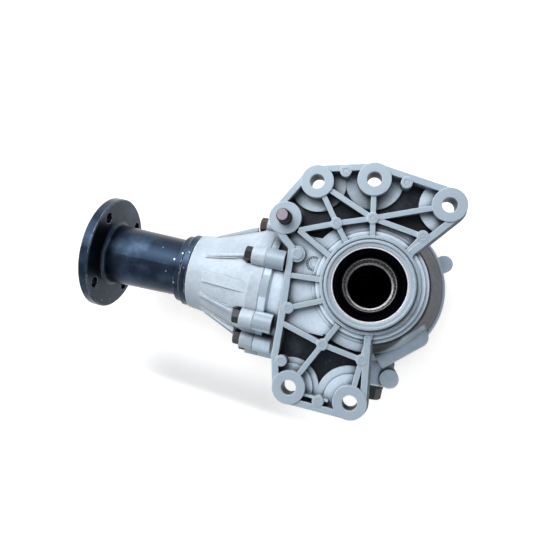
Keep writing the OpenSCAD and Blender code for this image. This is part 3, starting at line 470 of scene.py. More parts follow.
@dataclass(frozen=True)
class BlackPaint:
    """Satin black paint over steel, with a faint orange peel, dust and small chips.

    The chips grow denser from one place along X to the next. Its sizes are in millimetres.
    """

    name: str
    body: Colour = (0.014, 0.022, 0.037)
    dust: Colour = (0.036, 0.056, 0.09)
    shadow: Colour = (0.0015, 0.002, 0.004)
    chip: Colour = (0.5, 0.52, 0.54)
    rough: float = 0.33
    chips: float = 0.8
    rounding: float = 0.8
    reach: float = 60.0
    worn_from_x: float = -204.0
    worn_to_x: float = -184.0

    def material(self) -> bpy.types.Material:
        """Builds the material."""
        shader = Shader(self.name)
        point = shader.point()
        normal, edges = shader.rounded(self.rounding)
        peel = shader.noise(point, 1.6, 2.0, 0.5)
        haze = shader.noise(point, 30.0, 4.0, 0.6)
        where = shader.noise(point, 22.0, 2.0, 0.5)
        ragged = shader.noise(point, 1.3, 3.0, 0.7)
        speck = shader.cells(point, 7.0)
        colour = shader.mix(haze.ramp(0.42, 0.7), self.body, self.dust)
        colour = shader.mix(shader.shade(self.reach).ramp(0.35, 0.85, 1.0, 0.0), colour, self.shadow)
        worn_end = shader.axes(point)[0].ramp(self.worn_from_x, self.worn_to_x)
        rubbed = edges.ramp(0.0, 0.5) * where.ramp(0.4, 0.5) * ragged.ramp(0.42, 0.52)
        spots = (worn_end * 0.05 + 0.1 - speck + (ragged - 0.5) * 0.12).ramp(0.0, 0.03)
        spots = spots * where.ramp(0.56, 0.64).at_least(worn_end * where.ramp(0.4, 0.5))
        bare = rubbed.at_least(spots) * self.chips
        colour = shader.mix(bare, colour, self.chip)
        rough = self.rough + (haze - 0.5) * 0.25 + bare * 0.1
        bent = shader.bump(peel * (1.0 - bare) - bare * 0.5, 0.03, normal)
        return shader.finish({"Metallic": 1.0}, colour, rough, bent)


@dataclass(frozen=True)
class BlackOxide:
    """Oiled black oxide on steel, rusty where it is thin and on one bolt. Its sizes are in millimetres."""

    name: str
    body: Colour = (0.018, 0.019, 0.022)
    bright: Colour = (0.12, 0.12, 0.125)
    rust: Colour = (0.075, 0.052, 0.042)
    rusty_at: Place | None = None
    rusty_r: float = 14.0
    bare_highlit_end_z: float | None = None
    bare: Colour = (0.2, 0.17, 0.2)
    metal: float = 0.6
    rough: float = 0.38
    rounding: float = 0.35

    def material(self) -> bpy.types.Material:
        """Builds the material."""
        shader = Shader(self.name)
        point = shader.point()
        normal, edges = shader.rounded(self.rounding)
        film = shader.noise(point, 3.0, 3.0, 0.6)
        fine = shader.noise(point, 0.6, 3.0, 0.65)
        colour = shader.mix(edges * 0.8, self.body, self.bright)
        spread = film * 0.7 + fine * 0.3
        patch = spread.ramp(0.56, 0.66) * 0.12
        if self.rusty_at is not None:
            away = [(axis - middle) ** 2.0 for axis, middle in zip(shader.axes(point), self.rusty_at)]
            near = (away[0] + away[1] + away[2]).ramp(0.0, self.rusty_r**2, 1.0, 0.0)
            patch = patch.at_least(near.ramp(0.0, 0.4) * spread.ramp(0.34, 0.5) * 0.9)
        colour = shader.mix(patch, colour, self.rust)
        # The end face is lighter: partly bare metal, partly a painted highlight.
        if self.bare_highlit_end_z is not None:
            end = shader.axes(point)[2].ramp(self.bare_highlit_end_z, self.bare_highlit_end_z + 0.3)
            colour = shader.mix(end * fine.ramp(0.3, 0.6, 0.5, 1.0), colour, self.bare)
        rough = self.rough + patch * 0.3 + (fine - 0.5) * 0.1
        bent = shader.bump(fine, 0.03, normal)
        return shader.finish({"Metallic": self.metal}, colour, rough, bent)


@dataclass(frozen=True)
class SealRubber:
    """Moulded black rubber with a faint bloom, in the bright steel shell of the input and rear seals."""

    name: str
    body: Colour = (0.001, 0.001, 0.002)
    bloom: Colour = (0.002, 0.0022, 0.004)
    shell: Colour = (0.62, 0.62, 0.66)
    shell_r: float = 31.3
    shell_end_r: float = 40.0
    rounding: float = 0.4

    def material(self) -> bpy.types.Material:
        """Builds the material. The shell is the band round the input axis."""
        shader = Shader(self.name)
        point = shader.point()
        x, y, _ = shader.axes(point)
        radius = distance(x, y)
        past_shell = radius.ramp(self.shell_end_r, self.shell_end_r + 1.0, 1.0, 0.0)
        band = radius.ramp(self.shell_r, self.shell_r + 0.1) * past_shell
        normal, edges = shader.rounded(self.rounding)
        bloom = shader.noise(point, 6.0, 3.0, 0.6)
        fine = shader.noise(point, 0.5, 2.0, 0.6)
        colour = shader.mix(bloom.ramp(0.45, 0.7), self.body, self.bloom)
        colour = shader.mix(band, colour, self.shell)
        rough = (bloom - 0.5) * 0.3 - edges * 0.1 + 0.7 - band * 0.4
        bent = shader.bump(fine, 0.02, normal)
        return shader.finish({"Metallic": 1.0}, colour, rough, bent)


# Places of the cast dial and of the dots where the ribs meet, in millimetres.
DIAL_AT = (-51.3, 8.6, -9.0)
DOTS = (
    (-38.6, 46.8), (-9.0, 56.9), (34.7, 49.6), (-66.7, 13.7), (-64.5, -34.3), (-28.6, -58.5),
    (6.6, -63.7), (-60.5, -80.3), (-40.2, 93.2), (12.7, 92.4), (-22.2, -106.6),
)


def cut_faces(shader: Shader, axes: Axes) -> Wire:
    """Mask of the faces of the case that are cut flat: the mounting face and the pilot ring."""
    return axes[2].ramp(-3.2, -2.6)


def joint_line(shader: Shader, axes: Axes) -> Wire:
    """Mask of the dirt in the joint between the case and the pinion housing."""
    x, y, _ = axes
    return (x + 93.0).size().ramp(0.25, 0.6, 1.0, 0.0) * y.ramp(26.0, 28.0, 1.0, 0.0)


@dataclass(frozen=True)
class ShaftShine:
    """Where the hollow shaft gets a painted highlight and where painted shade, in millimetres."""

    bore_r: float = 21.5
    mouth_r: float = 23.0
    step_z: float = -24.0
    spline_end_z: float = -36.0
    front_z: float = -12.0

    def __call__(self, shader: Shader, axes: Axes) -> tuple[Wire, Wire]:
        """Masks of the painted highlight and of the painted shade.

        Args:
            shader: Not used.
            axes: The coordinates in millimetres.

        Returns:
            A mask of the painted highlight on the step at the spline's end and, weaker, on the teeth, and a
            mask of the painted shade on the shaft's front and deep in the bore.
        """
        x, y, z = axes
        radius = distance(x, y)
        in_bore = radius.ramp(self.bore_r, self.bore_r + 0.2, 1.0, 0.0)
        in_mouth = radius.ramp(self.mouth_r, self.mouth_r + 0.2, 1.0, 0.0)
        above_end = z.ramp(self.spline_end_z, self.spline_end_z + 0.4)
        step = z.ramp(self.step_z - 2.0, self.step_z, 1.0, 0.0) * above_end * in_bore
        teeth = z.ramp(self.step_z, self.step_z + 15.0, 0.05, 0.15) * above_end * in_mouth
        front = z.ramp(self.front_z, self.front_z + 1.0) * radius.ramp(self.mouth_r - 0.1, self.mouth_r + 0.1)
        deep = z.ramp(self.spline_end_z - 8.0, self.spline_end_z - 2.0, 1.0, 0.0) * in_bore
        return step.at_least(teeth), front.at_least(deep)


@dataclass(frozen=True)
class CaseDirtAndShade:
    """Where the main case is darkened: real dirt and scuffs, and painted shade in the pockets, below the pilot
    ring and on the gear chamber. Places and sizes are in millimetres.
    """

    plate_from_x: float = -74.0
    plate_to_x: float = 64.0
    edge_z: float = -19.0
    pocket_top_z: float = -16.4
    pocket_bottom_z: float = -18.6
    ring_r: float = 50.0
    shoulder_r: float = 44.0
    chamber_r: float = 67.0
    ridge_from: tuple[float, float] = (53.0, -36.0)
    ridge_to: tuple[float, float] = (21.0, -65.0)
    ridge_r: float = 10.0
    dial_at: Place = DIAL_AT
    dots: Sequence[tuple[float, float]] = DOTS
    dot_ring_r: float = 2.3

    def __call__(self, shader: Shader, axes: Axes) -> Wire:
        """Mask of all the dirt and painted shade.

        Args:
            shader: The tree in which the mask is built.
            axes: The coordinates in millimetres.

        Returns:
            A mask that is 1 where the film is thick.
        """
        x, y, z = axes
        radius = distance(x, y)
        patches = shader.noise(shader.point(), 24.0, 2.0, 0.5).ramp(0.34, 0.56, 0.94, 1.0)
        # Painted shadow below the pilot ring, and painted shade on the gear chamber.
        side = self._below_ring(x, y, radius).at_least(self._chamber(x, y, z, radius) * patches)
        side = side * z.ramp(self.edge_z - 3.0, self.edge_z, 1.0, 0.0)
        # Painted shade on the deep pocket floors, joined with the painted shadow and shade above.
        dirt = (self._pockets(shader, x, z) * patches).at_least(side)
        dirt = dirt.at_least(self._dial(x, y, z)).at_least(joint_line(shader, axes))
        worn = self._scuffs(shader, radius).at_least(self._dot_rings(x, y))
        return dirt.at_least(worn * cut_faces(shader, axes))

    def _pockets(self, shader: Shader, x: Wire, z: Wire) -> Wire:
        """Mask of the painted shade on the deep floors of the plate, where they face up."""
        facing = shader.node("ShaderNodeTexCoord", out="Normal")
        upward = shader.node("ShaderNodeSeparateXYZ", values={"Vector": facing}, out="Z").ramp(0.3, 0.7)
        deep = z.ramp(self.pocket_top_z, self.pocket_top_z + 2.4, 1.0, 0.0)
        deep = deep * z.ramp(self.pocket_bottom_z - 1.4, self.pocket_bottom_z)
        left, right = self.plate_from_x, self.plate_to_x
        return deep * upward * x.ramp(left, left + 4.0) * x.ramp(right - 4.0, right, 1.0, 0.0)

    def _below_ring(self, x: Wire, y: Wire, radius: Wire) -> Wire:
        """Mask of the painted shadow below the pilot ring, a crescent which widens towards the lower edge."""
        outer = (-30.0 - y).at_least(0.0) * 0.4 + self.ring_r
        return (x - y).ramp(50.0, 66.0) * radius.ramp(43.0, 46.0) * (radius - outer).ramp(-1.0, 2.0, 1.0, 0.0)

    def _chamber(self, x: Wire, y: Wire, z: Wire, radius: Wire) -> Wire:
        """Mask of the painted shade on the shoulder and the wall of the gear chamber, without the ridge on it.
        """
        (start_x, start_y), (end_x, end_y) = self.ridge_from, self.ridge_to
        length = math.dist(self.ridge_from, self.ridge_to)
        along_x, along_y = (end_x - start_x) / length, (end_y - start_y) / length
        beside = ((y - start_y) * along_x - (x - start_x) * along_y).size()
        past_start = (x - start_x) * along_x + (y - start_y) * along_y
        ridge = beside.ramp(self.ridge_r - 3.0, self.ridge_r, 1.0, 0.0)
        ridge = ridge * past_start.ramp(-self.ridge_r - 2.0, 2.0 - self.ridge_r)
        shoulder = radius.ramp(self.shoulder_r, self.shoulder_r + 3.0)
        wall = radius.ramp(self.chamber_r, self.chamber_r + 2.5, 1.0, 0.0)
        return shoulder * wall * z.ramp(-80.0, -52.0, 0.3, 0.97) * (1.0 - ridge)

    def _dial(self, x: Wire, y: Wire, z: Wire) -> Wire:
        """Mask of a darker ring on the floor round the bars of the dial."""
        at_x, at_y, floor = self.dial_at
        away = distance(x - at_x, y - at_y)
        ring = away.ramp(4.3, 4.8) * away.ramp(6.5, 7.1, 0.75, 0.0)
        return ring * z.ramp(floor + 0.05, floor + 0.25, 1.0, 0.0) * z.ramp(floor - 1.0, floor - 0.5)

    def _scuffs(self, shader: Shader, radius: Wire) -> Wire:
        """Mask of the dark scuffs at the foot of the ribs, round the pilot ring."""
        scuffs = shader.noise(shader.point(), 2.6, 3.0, 0.6).ramp(0.34, 0.42, 0.75, 0.0)
        return scuffs * radius.ramp(39.0, 42.0) * radius.ramp(54.0, 66.0, 1.0, 0.0)

    def _dot_rings(self, x: Wire, y: Wire) -> Wire:
        """Mask of a thin ring inside the rim of every dot."""
        rings = []
        for dot_x, dot_y in self.dots:
            away = distance(x - dot_x, y - dot_y)
            rings.append((away - self.dot_ring_r).size().ramp(0.15, 0.6, 0.65, 0.0))
        return functools.reduce(Wire.at_least, rings)


class Slot(Enum):
    """The record's material slots."""

    CASE = "case_casting"
    COVER = "cover_casting"
    HOUSING = "housing_casting"
    FLANGE = "flange_paint"
    BOLT = "black_bolt"
    PLUG = "black_plug"
    ZINC = "zinc_steel"
    CAPTIVE = "captive_bolt_steel"
    GROUND = "ground_steel"
    BEARING = "bearing_steel"
    CAGE = "cage_steel"
    SHAFT = "shaft_steel"
    GEAR = "gear_steel"
    WASHER = "washer_aluminium"
    RUBBER = "seal_rubber"


class Finish(Protocol):
    """What every finish can do."""

    def material(self) -> bpy.types.Material:
        """Builds the material."""


FINISHES: Mapping[Slot, Finish] = {
    Slot.CASE: CastAluminium("case_cast_aluminium", machined=cut_faces, dirt_and_shade=CaseDirtAndShade()),
    # The rear cover is the case's cast aluminium, darkened and browned as painted shade.
    Slot.COVER: CastAluminium(
        "cover_aluminium_in_painted_shade", body=(0.105, 0.094, 0.088), pale=(0.2, 0.187, 0.178), edge=(0.42, 0.42, 0.42)
    ),
    Slot.HOUSING: CastAluminium(
        "housing_cast_aluminium", body=(0.41, 0.47, 0.53), pale=(0.51, 0.57, 0.63), rough=0.38, grain=0.025,
        dirt_and_shade=joint_line,
    ),
    Slot.FLANGE: BlackPaint("flange_black_paint"),
    Slot.BOLT: BlackOxide("bolt_black_oxide", rusty_at=(-112.0, 37.7, -43.5)),
    Slot.PLUG: BlackOxide("plug_black_oxide", rough=0.45),
    Slot.ZINC: MachinedSteel("zinc_plate", body=(0.42, 0.42, 0.4), rough=0.36),
    Slot.CAPTIVE: BlackOxide("captive_bolt_phosphate", body=(0.016, 0.013, 0.018), bare_highlit_end_z=16.6),
    Slot.GROUND: MachinedSteel("ground_steel"),
    Slot.BEARING: MachinedSteel("bearing_steel", body=(0.5, 0.5, 0.52), rough=0.2),
    Slot.CAGE: MachinedSteel("cage_sheet", body=(0.34, 0.34, 0.35), rough=0.34),
    Slot.SHAFT: MachinedSteel("turned_shaft_steel", body=(0.17, 0.165, 0.175), reach=30.0, lit=ShaftShine()),
    Slot.GEAR: MachinedSteel("hardened_gear_steel", body=(0.22, 0.22, 0.23), rough=0.34),
    Slot.WASHER: MachinedSteel("washer_aluminium", body=(0.6, 0.6, 0.6), rough=0.35),
    Slot.RUBBER: SealRubber("seal_rubber"),
}


def round_ring(radius: float, height: float) -> Ring:
    """A ring with one radius and one height, in millimetres."""
    return lambda angle: (radius, height)


def hexagon_radius(flats: float, angle: float) -> float:
    """Distance from the middle of a hexagon to its side at an angle."""
    sector = math.pi / 3
    away = angle % sector - sector / 2
    return flats / 2 / math.cos(away)


def hexagon_ring(flats: float, height: float, chamfer: float | None = None) -> Ring:
    """A six-sided ring.

    Args:
        flats: Width across the flats.
        height: Height of the ring.
        chamfer: Radius past which the ring is turned down at 30 degrees, or None for a level one.

    Returns:
        The ring.
    """

    def place(angle: float) -> tuple[float, float]:
        """Radius and height of the ring at an angle."""
        radius = hexagon_radius(flats, angle)
        drop = 0.0 if chamfer is None else max(0.0, radius - chamfer) * CHAMFER_FALL
        return radius, height - drop

    return place


def chamfer_radius(flats: float) -> float:
    """Radius at which the turned chamfer of a hexagon begins."""
    return 0.47 * flats


def thread_rings(major: float, pitch: float, low: float, high: float) -> list[Ring]:
    """Rings that follow a screw thread.

    Args:
        major: Radius over the crests.
        pitch: Height of one turn.
        low: Where the thread begins.
        high: Where it ends.

    Returns:
        The rings from low to high.
    """
    depth = 0.6 * pitch
    rings_per_turn = 6
    count = max(2, round((high - low) / pitch * rings_per_turn))

    def at(height: float) -> Ring:
        """The ring at one height of the thread."""

        def place(angle: float) -> tuple[float, float]:
            """Radius and height of the thread at an angle."""
            phase = (height / pitch - angle / math.tau) % 1.0
            crest = abs(2 * phase - 1)
            ends = min(1.0, (height - low) / pitch, (high - height) / pitch)
            return major - depth * min(1.0, max(0.0, 1.15 * crest - 0.1)) * max(0.0, ends), height

        return place

    return [at(low + (high - low) * i / count) for i in range(count + 1)]


def skin(name: str, rings: Sequence[Ring], steps: int = 72, closed: bool = False) -> bpy.types.Mesh:
    """Joins rings round the Z axis into one closed surface.

    Args:
        name: The mesh's name.
        rings: The rings in order.
        steps: Points in each ring.
        closed: True if the last ring joins the first, as round a bore. Else both ends are filled.

    Returns:
        The mesh, in metres, facing outwards.
    """
    made = bmesh.new()
    loops = []
    for ring in rings:
        loop = []
        for i in range(steps):
            angle = math.tau * i / steps
            radius, height = ring(angle)
            at = (radius * math.cos(angle) * MM, radius * math.sin(angle) * MM, height * MM)
            loop.append(made.verts.new(at))
        loops.append(loop)
    following = loops[1:] + loops[:1] if closed else loops[1:]
    for low, high in zip(loops, following):
        for i in range(steps):
            after = (i + 1) % steps
            made.faces.new((low[i], low[after], high[after], high[i]))
    if not closed:
        made.faces.new(loops[0])
        made.faces.new(loops[-1])
    return finished_mesh(name, made)


def finished_mesh(name: str, made: bmesh.types.BMesh) -> bpy.types.Mesh:
    """Turns a mesh under construction into a mesh with outward faces and crisp edges."""
    bmesh.ops.recalc_face_normals(made, faces=made.faces)
    mesh = bpy.data.meshes.new(name)
    made.to_mesh(mesh)
    made.free()
    mesh.shade_smooth()
    mesh.set_sharp_from_angle(angle=SHARP_ANGLE)
    return mesh


class Copies(Tree):
    """A geometry tree that stands one piece on every point of a mesh and joins the copies."""

    INPUTS = (
        ("Points", "NodeSocketGeometry"),
        ("Piece", "NodeSocketObject"),
        ("Wander", "NodeSocketFloat"),
        ("Seed", "NodeSocketInt"),
        ("Finish", "NodeSocketMaterial"),
    )
    FACING = "facing"

    def __init__(self) -> None:
        """Builds the tree: points, copies with their turn, one real mesh, its material."""
        self.group = bpy.data.node_groups.new("copies_on_points", "GeometryNodeTree")
        super().__init__(self.group)
        interface = self.group.interface
        self.keys = {
            label: interface.new_socket(label, in_out="INPUT", socket_type=kind).identifier
            for label, kind in self.INPUTS
        }
        interface.new_socket("Copies", in_out="OUTPUT", socket_type="NodeSocketGeometry")
        entry = self.make("NodeGroupInput")
        given = {label: Wire(self, entry.outputs[label]) for label, _ in self.INPUTS}
        piece = self.node("GeometryNodeObjectInfo", values={"Object": given["Piece"]}, out="Geometry")
        facing = self.node("GeometryNodeInputNamedAttribute", {"data_type": "FLOAT"}, {"Name": self.FACING})
        limits = {2: given["Wander"] * -1.0, 3: given["Wander"], "Seed": given["Seed"]}
        wander = self.node("FunctionNodeRandomValue", {"data_type": "FLOAT"}, limits, out=1)
        turn = self.node("ShaderNodeCombineXYZ", values={"Z": facing + wander})
        stand = {"Points": given["Points"], "Instance": piece, "Rotation": turn}
        copies = self.node("GeometryNodeInstanceOnPoints", values=stand)
        real = self.node("GeometryNodeRealizeInstances", values={"Geometry": copies})
        dressed = self.node("GeometryNodeSetMaterial", values={"Geometry": real, "Material": given["Finish"]})
        self.make("NodeGroupOutput", values={"Copies": dressed})

    def lay(
        self,
        piece: bpy.types.Mesh,
        spots: Sequence[tuple[Place, float]],
        finish: bpy.types.Material,
        wander: float = 0.0,
        seed: int = 1,
    ) -> bpy.types.Mesh:
        """Runs the tree once.

        Args:
            piece: The mesh that is copied.
            spots: Place in millimetres and turn in radians of each copy.
            finish: Material of the copies.
            wander: How far a copy may turn away from its spot's turn, in radians.
            seed: Seed of that turn.

        Returns:
            One plain mesh of all the copies.
        """
        points = bpy.data.meshes.new("spots")
        points.from_pydata([tuple(c * MM for c in place) for place, _ in spots], [], [])
        turns = points.attributes.new(self.FACING, "FLOAT", "POINT")
        turns.data.foreach_set("value", [turn for _, turn in spots])
        carrier = bpy.data.objects.new("spots", points)
        single = bpy.data.objects.new("single", piece)
        for made in (carrier, single):
            bpy.context.scene.collection.objects.link(made)
        modifier = carrier.modifiers.new("copies", "NODES")
        modifier.node_group = self.group
        chosen = {"Piece": single, "Wander": wander, "Seed": seed, "Finish": finish}
        for label, value in chosen.items():
            modifier[self.keys[label]] = value
        whole = carrier.evaluated_get(bpy.context.evaluated_depsgraph_get())
        mesh = bpy.data.meshes.new_from_object(whole)
        carrier.modifiers.remove(modifier)
        for made in (carrier, single):
            bpy.data.objects.remove(made)
        return mesh


class Bench:
    """Turns meshes into finished pieces that ride on a body and wear a slot's material."""

    def __init__(self) -> None:
        """Makes the materials and the tree for copies."""
        self.materials = {slot: finish.material() for slot, finish in FINISHES.items()}
        self.copies = Copies()

    def dress_solids(self, frame: Mapping[str, object]) -> None:
        """Gives every solid the material of its slot.

        Args:
            frame: The loaded frame.
        """
        for part in frame["record"]["subparts"]:
            solid = frame["nodes"][part["node"]]
            material = self.materials[Slot(part["material_slot"])]
            if not solid.data.materials:
                solid.data.materials.append(material)
            for place in range(len(solid.data.materials)):
                solid.data.materials[place] = material
            LOG.info("dressed %s in %s", part["node"], material.name)

    def put(
        self, name: str, mesh: bpy.types.Mesh, place: Matrix, slot: Slot, body: str, *nodes: str
    ) -> None:
        """Puts one piece into the scene, with its object at the origin.

        Args:
            name: The piece's name.
            mesh: Its mesh, drawn round its own origin.
            place: Where the mesh goes in the frame.
            slot: The slot whose material it wears.
            body: The body that it rides on.
            nodes: The solids that it stands for.
        """
        mesh.name = name
        mesh.transform(place)
        mesh.materials.clear()
        mesh.materials.append(self.materials[slot])
        made = bpy.data.objects.new(name, mesh)
        bpy.context.scene.collection.objects.link(made)
        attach(made, body)
        if nodes:
            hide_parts(*nodes)
        LOG.info("%s: %d faces, rides on %s", name, len(mesh.polygons), body)


def placed(at: Place, degrees: float = 0.0, axis: str = "Z") -> Matrix:
    """A place in the frame: a turn about one axis, then a move in millimetres."""
    move = Matrix.Translation([c * MM for c in at])
    return move @ Matrix.Rotation(math.radians(degrees), 4, axis)


@dataclass
class FlangeBolt:
    """One hexagon bolt with a washer face, its seat at 0 and its head above."""

    flats: float = 12.0
    head: float = 8.0
    washer_r: float = 7.9
    washer: float = 1.6
    shank_r: float = 3.9
    length: float = 20.0
    pitch: float = 1.25

    def mesh(self) -> bpy.types.Mesh:
        """Builds the bolt from its point to the dish in its head."""
        corner = chamfer_radius(self.flats)
        thread_end = -0.35 * self.length
        rings = [round_ring(self.shank_r - 1.0, -self.length)]
        rings += thread_rings(self.shank_r, self.pitch, 1.0 - self.length, thread_end)
        rings += [
            round_ring(self.shank_r, thread_end + 0.5),
            round_ring(self.shank_r, 0.05),
            round_ring(self.washer_r - 0.2, 0.02),
            round_ring(self.washer_r, 0.25),
            round_ring(self.washer_r - 0.1, 0.75 * self.washer),
            round_ring(self.washer_r - 0.5, self.washer),
            hexagon_ring(self.flats, self.washer + 0.25),
            hexagon_ring(self.flats, self.head, corner),
            round_ring(corner, self.head),
            round_ring(0.78 * corner, self.head),
            round_ring(0.7 * corner, self.head - 0.7),
            round_ring(0.3 * corner, self.head - 0.85),
        ]
        return skin("flange_bolt", rings)


@dataclass
class BoltCircle:
    """Flange bolts on one circle, which stand for a node of plainer ones."""

    name: str
    node: str
    slot: Slot
    place: Matrix
    circle_r: float
    angles: Sequence[float]
    bolt: FlangeBolt
    seed: int

    def build(self, bench: Bench) -> None:
        """Lays the bolts round the circle, each at its own turn."""
        spots = []
        for angle in self.angles:
            turn = math.radians(-angle)
            at = (self.circle_r * math.cos(turn), self.circle_r * math.sin(turn), 0.0)
            spots.append((at, turn))
        mesh = bench.copies.lay(self.bolt.mesh(), spots, bench.materials[self.slot], math.pi, self.seed)
        bench.put(self.name, mesh, self.place, self.slot, "case", self.node)


@dataclass
class HousingWebs:
    """Thin webs on the cone of the pinion housing, one from each bolt head to the nose."""

    place: Matrix
    angles: Sequence[float]
    outline: Sequence[tuple[float, float]] = (
        (46.0, 10.0), (56.5, 10.0), (55.8, 12.8), (40.6, 48.0), (36.0, 48.0),
    )
    foot: float = 4.2
    crest: float = 2.4

    def build(self, bench: Bench) -> None:
        """Lays one web in front of every bolt head."""
        made = bmesh.new()
        sides = []
        for sign in (-1.0, 1.0):
            side = []
            for radius, along in self.outline:
                at_foot = radius in (self.outline[0][0], self.outline[-1][0])
                half = (self.foot if at_foot else self.crest) / 2
                side.append(made.verts.new((radius * MM, sign * half * MM, along * MM)))
            sides.append(side)
            made.faces.new(side)
        count = len(self.outline)
        for i in range(count):
            k = (i + 1) % count
            made.faces.new((sides[0][i], sides[0][k], sides[1][k], sides[1][i]))
        web = finished_mesh("housing_web", made)
        spots = [((0.0, 0.0, 0.0), math.radians(-angle)) for angle in self.angles]
        mesh = bench.copies.lay(web, spots, bench.materials[Slot.HOUSING])
        bench.put("housing_webs", mesh, self.place, Slot.HOUSING, "case")


@dataclass
class CaptiveBolt:
    """The bolt held in the left boss, its thread standing out of the face."""

    at: Place = (-83.7, 42.9, 0.0)
    shank_r: float = 5.98
    waist_r: float = 5.35
    washer_r: float = 9.0
    head: float = 8.0
    seat: float = -22.7
    tip: float = 17.0
    pitch: float = 1.75
    flats: float = 14.0

    def build(self, bench: Bench) -> None:
        """Builds the head, the waist, the thread and the chamfered end as one skin."""
        corner = chamfer_radius(self.flats)
        back = self.seat - self.head
        rings = [
            round_ring(0.6 * corner, back + 0.8),
            round_ring(0.75 * corner, back),
            round_ring(corner, back),
            hexagon_ring(self.flats, back + 0.8),
            hexagon_ring(self.flats, self.seat - 2.3),
            round_ring(self.washer_r - 0.4, self.seat - 2.0),
            round_ring(self.washer_r, self.seat - 1.6),
            round_ring(self.washer_r, self.seat - 0.3),
            round_ring(self.washer_r - 0.3, self.seat),
            round_ring(self.waist_r, self.seat + 0.02),
            round_ring(self.waist_r, -0.8),
            round_ring(self.shank_r, -0.1),
        ]
        rings += thread_rings(self.shank_r, self.pitch, 0.0, self.tip - 3.4)
        rings += [
            round_ring(self.shank_r - 0.5, self.tip - 2.4),
            round_ring(self.shank_r - 0.6, self.tip - 1.0),
            round_ring(self.shank_r - 1.1, self.tip - 0.2),
            round_ring(self.shank_r - 1.4, self.tip),
        ]
        mesh = skin("captive_bolt", rings)
        bench.put("captive_bolt_threaded", mesh, placed(self.at), Slot.CAPTIVE, "case", "captive_bolt")


@dataclass
class ScrewPlug:
    """A hexagon plug with a collar, its washer below and its thread in the case."""

    name: str
    node: str
    place: Matrix
    head: float
    length: float = 13.0
    radius: float = 9.0
    flats: float = 22.0
    washer: float = 1.5
    collar_r: float = 13.2
    collar: float = 3.0
    pitch: float = 1.5

    def build(self, bench: Bench) -> None:
        """Builds the plug as one skin."""
        corner = chamfer_radius(self.flats)
        top = self.washer + self.head
        above_collar = self.washer + self.collar
        rings = [round_ring(self.radius - 1.4, -self.length)]
        rings += thread_rings(self.radius - 0.02, self.pitch, 1.2 - self.length, -0.6)
        rings += [
            round_ring(self.radius - 0.9, 0.0),
            round_ring(self.radius - 0.9, self.washer - 0.02),
            round_ring(self.collar_r - 0.3, self.washer),
            round_ring(self.collar_r, self.washer + 0.4),
            round_ring(self.collar_r, above_collar - 0.6),
            round_ring(self.collar_r - 0.4, above_collar),
            hexagon_ring(self.flats, above_collar + 0.1),
            hexagon_ring(self.flats, top, corner),
            round_ring(corner, top),
            round_ring(0.62 * corner, top),
            round_ring(0.58 * corner, top - 0.8),
            round_ring(0.2 * corner, top - 1.2),
        ]
        bench.put(self.name, skin(self.name, rings), self.place, Slot.PLUG, "case", self.node)


@dataclass
class Breather:
    """The vent on top of the case: a hexagon foot, a neck and a loose cap."""

    place: Matrix
    thread_r: float = 4.0
    depth: float = 8.0
    flats: float = 12.0
    foot_r: float = 5.7
    foot: float = 6.0
    neck_r: float = 3.4
    cap_r: float = 6.5
    cap_from: float = 9.05
    cap_to: float = 15.0

    def build(self, bench: Bench) -> None:
        """Builds the vent as one skin."""
        rings = [
            round_ring(self.thread_r - 0.6, -self.depth),
            round_ring(self.thread_r, 0.7 - self.depth),
            round_ring(self.thread_r, 0.0),
            hexagon_ring(self.flats, 0.0),
            hexagon_ring(self.flats, self.foot, self.foot_r),
            round_ring(self.foot_r, self.foot),
            round_ring(self.neck_r, self.foot + 0.1),
            round_ring(self.neck_r, self.cap_from),
            round_ring(self.cap_r - 0.5, self.cap_from),
            round_ring(self.cap_r, self.cap_from + 0.45),
            round_ring(self.cap_r, self.cap_to - 2.4),
            round_ring(self.cap_r - 0.3, self.cap_to - 1.3),
            round_ring(self.cap_r - 1.5, self.cap_to - 0.4),
            round_ring(self.cap_r - 4.0, self.cap_to),
        ]
        bench.put("vent_cap", skin("vent_cap", rings), self.place, Slot.ZINC, "case", "breather")


@dataclass
class CollarNut:
    """The nut that holds the companion flange, with a washer face and a thin collar."""

    place: Matrix
    flats: float = 30.0
    bore: float = 10.1
    washer_r: float = 17.0
    washer: float = 2.0
    shoulder: float = 9.0
    collar_r: float = 13.0
    height: float = 11.0

    def build(self, bench: Bench) -> None:
        """Builds the nut as a skin that closes through its bore."""
        corner = chamfer_radius(self.flats)
        rings = [
            round_ring(self.bore, 0.0),
            round_ring(self.washer_r - 0.3, 0.0),
            round_ring(self.washer_r, 0.4),
            round_ring(self.washer_r - 0.1, self.washer - 0.4),
            round_ring(self.washer_r - 0.7, self.washer),
            hexagon_ring(self.flats, self.washer + 0.1),
            hexagon_ring(self.flats, self.shoulder, corner),
            round_ring(corner - 0.2, self.shoulder),
            round_ring(self.collar_r, self.shoulder + 0.05),
            round_ring(self.collar_r, self.height - 0.5),
            round_ring(self.collar_r - 0.4, self.height),
            round_ring(self.bore + 0.7, self.height),
            round_ring(self.bore, self.height - 0.7),
        ]
        mesh = skin("collar_nut", rings, closed=True)
        bench.put("collar_nut", mesh, self.place, Slot.ZINC, "pinion_line", "flange_nut")


@dataclass
class DotRims:
    """The faint raised rims that the ejector pins leave on the dots where the ribs meet."""

    spots: Sequence[tuple[float, float]]
    height: float = -0.9
    radius: float = 3.1
    width: float = 0.7

    def build(self, bench: Bench) -> None:
        """Lays one rim on every dot."""
        inner = self.radius - self.width / 2
        outer = self.radius + self.width / 2
        rings = [
            round_ring(inner, -0.3),
            round_ring(outer, -0.3),
            round_ring(outer, 0.1),
            round_ring(outer - 0.2, 0.28),
            round_ring(inner + 0.2, 0.28),
            round_ring(inner, 0.1),
        ]
        rim = skin("dot_rim", rings, 40, closed=True)
        spots = [((x, y, self.height), 0.0) for x, y in self.spots]
        mesh = bench.copies.lay(rim, spots, bench.materials[Slot.CASE])
        bench.put("dot_rims", mesh, Matrix(), Slot.CASE, "case")


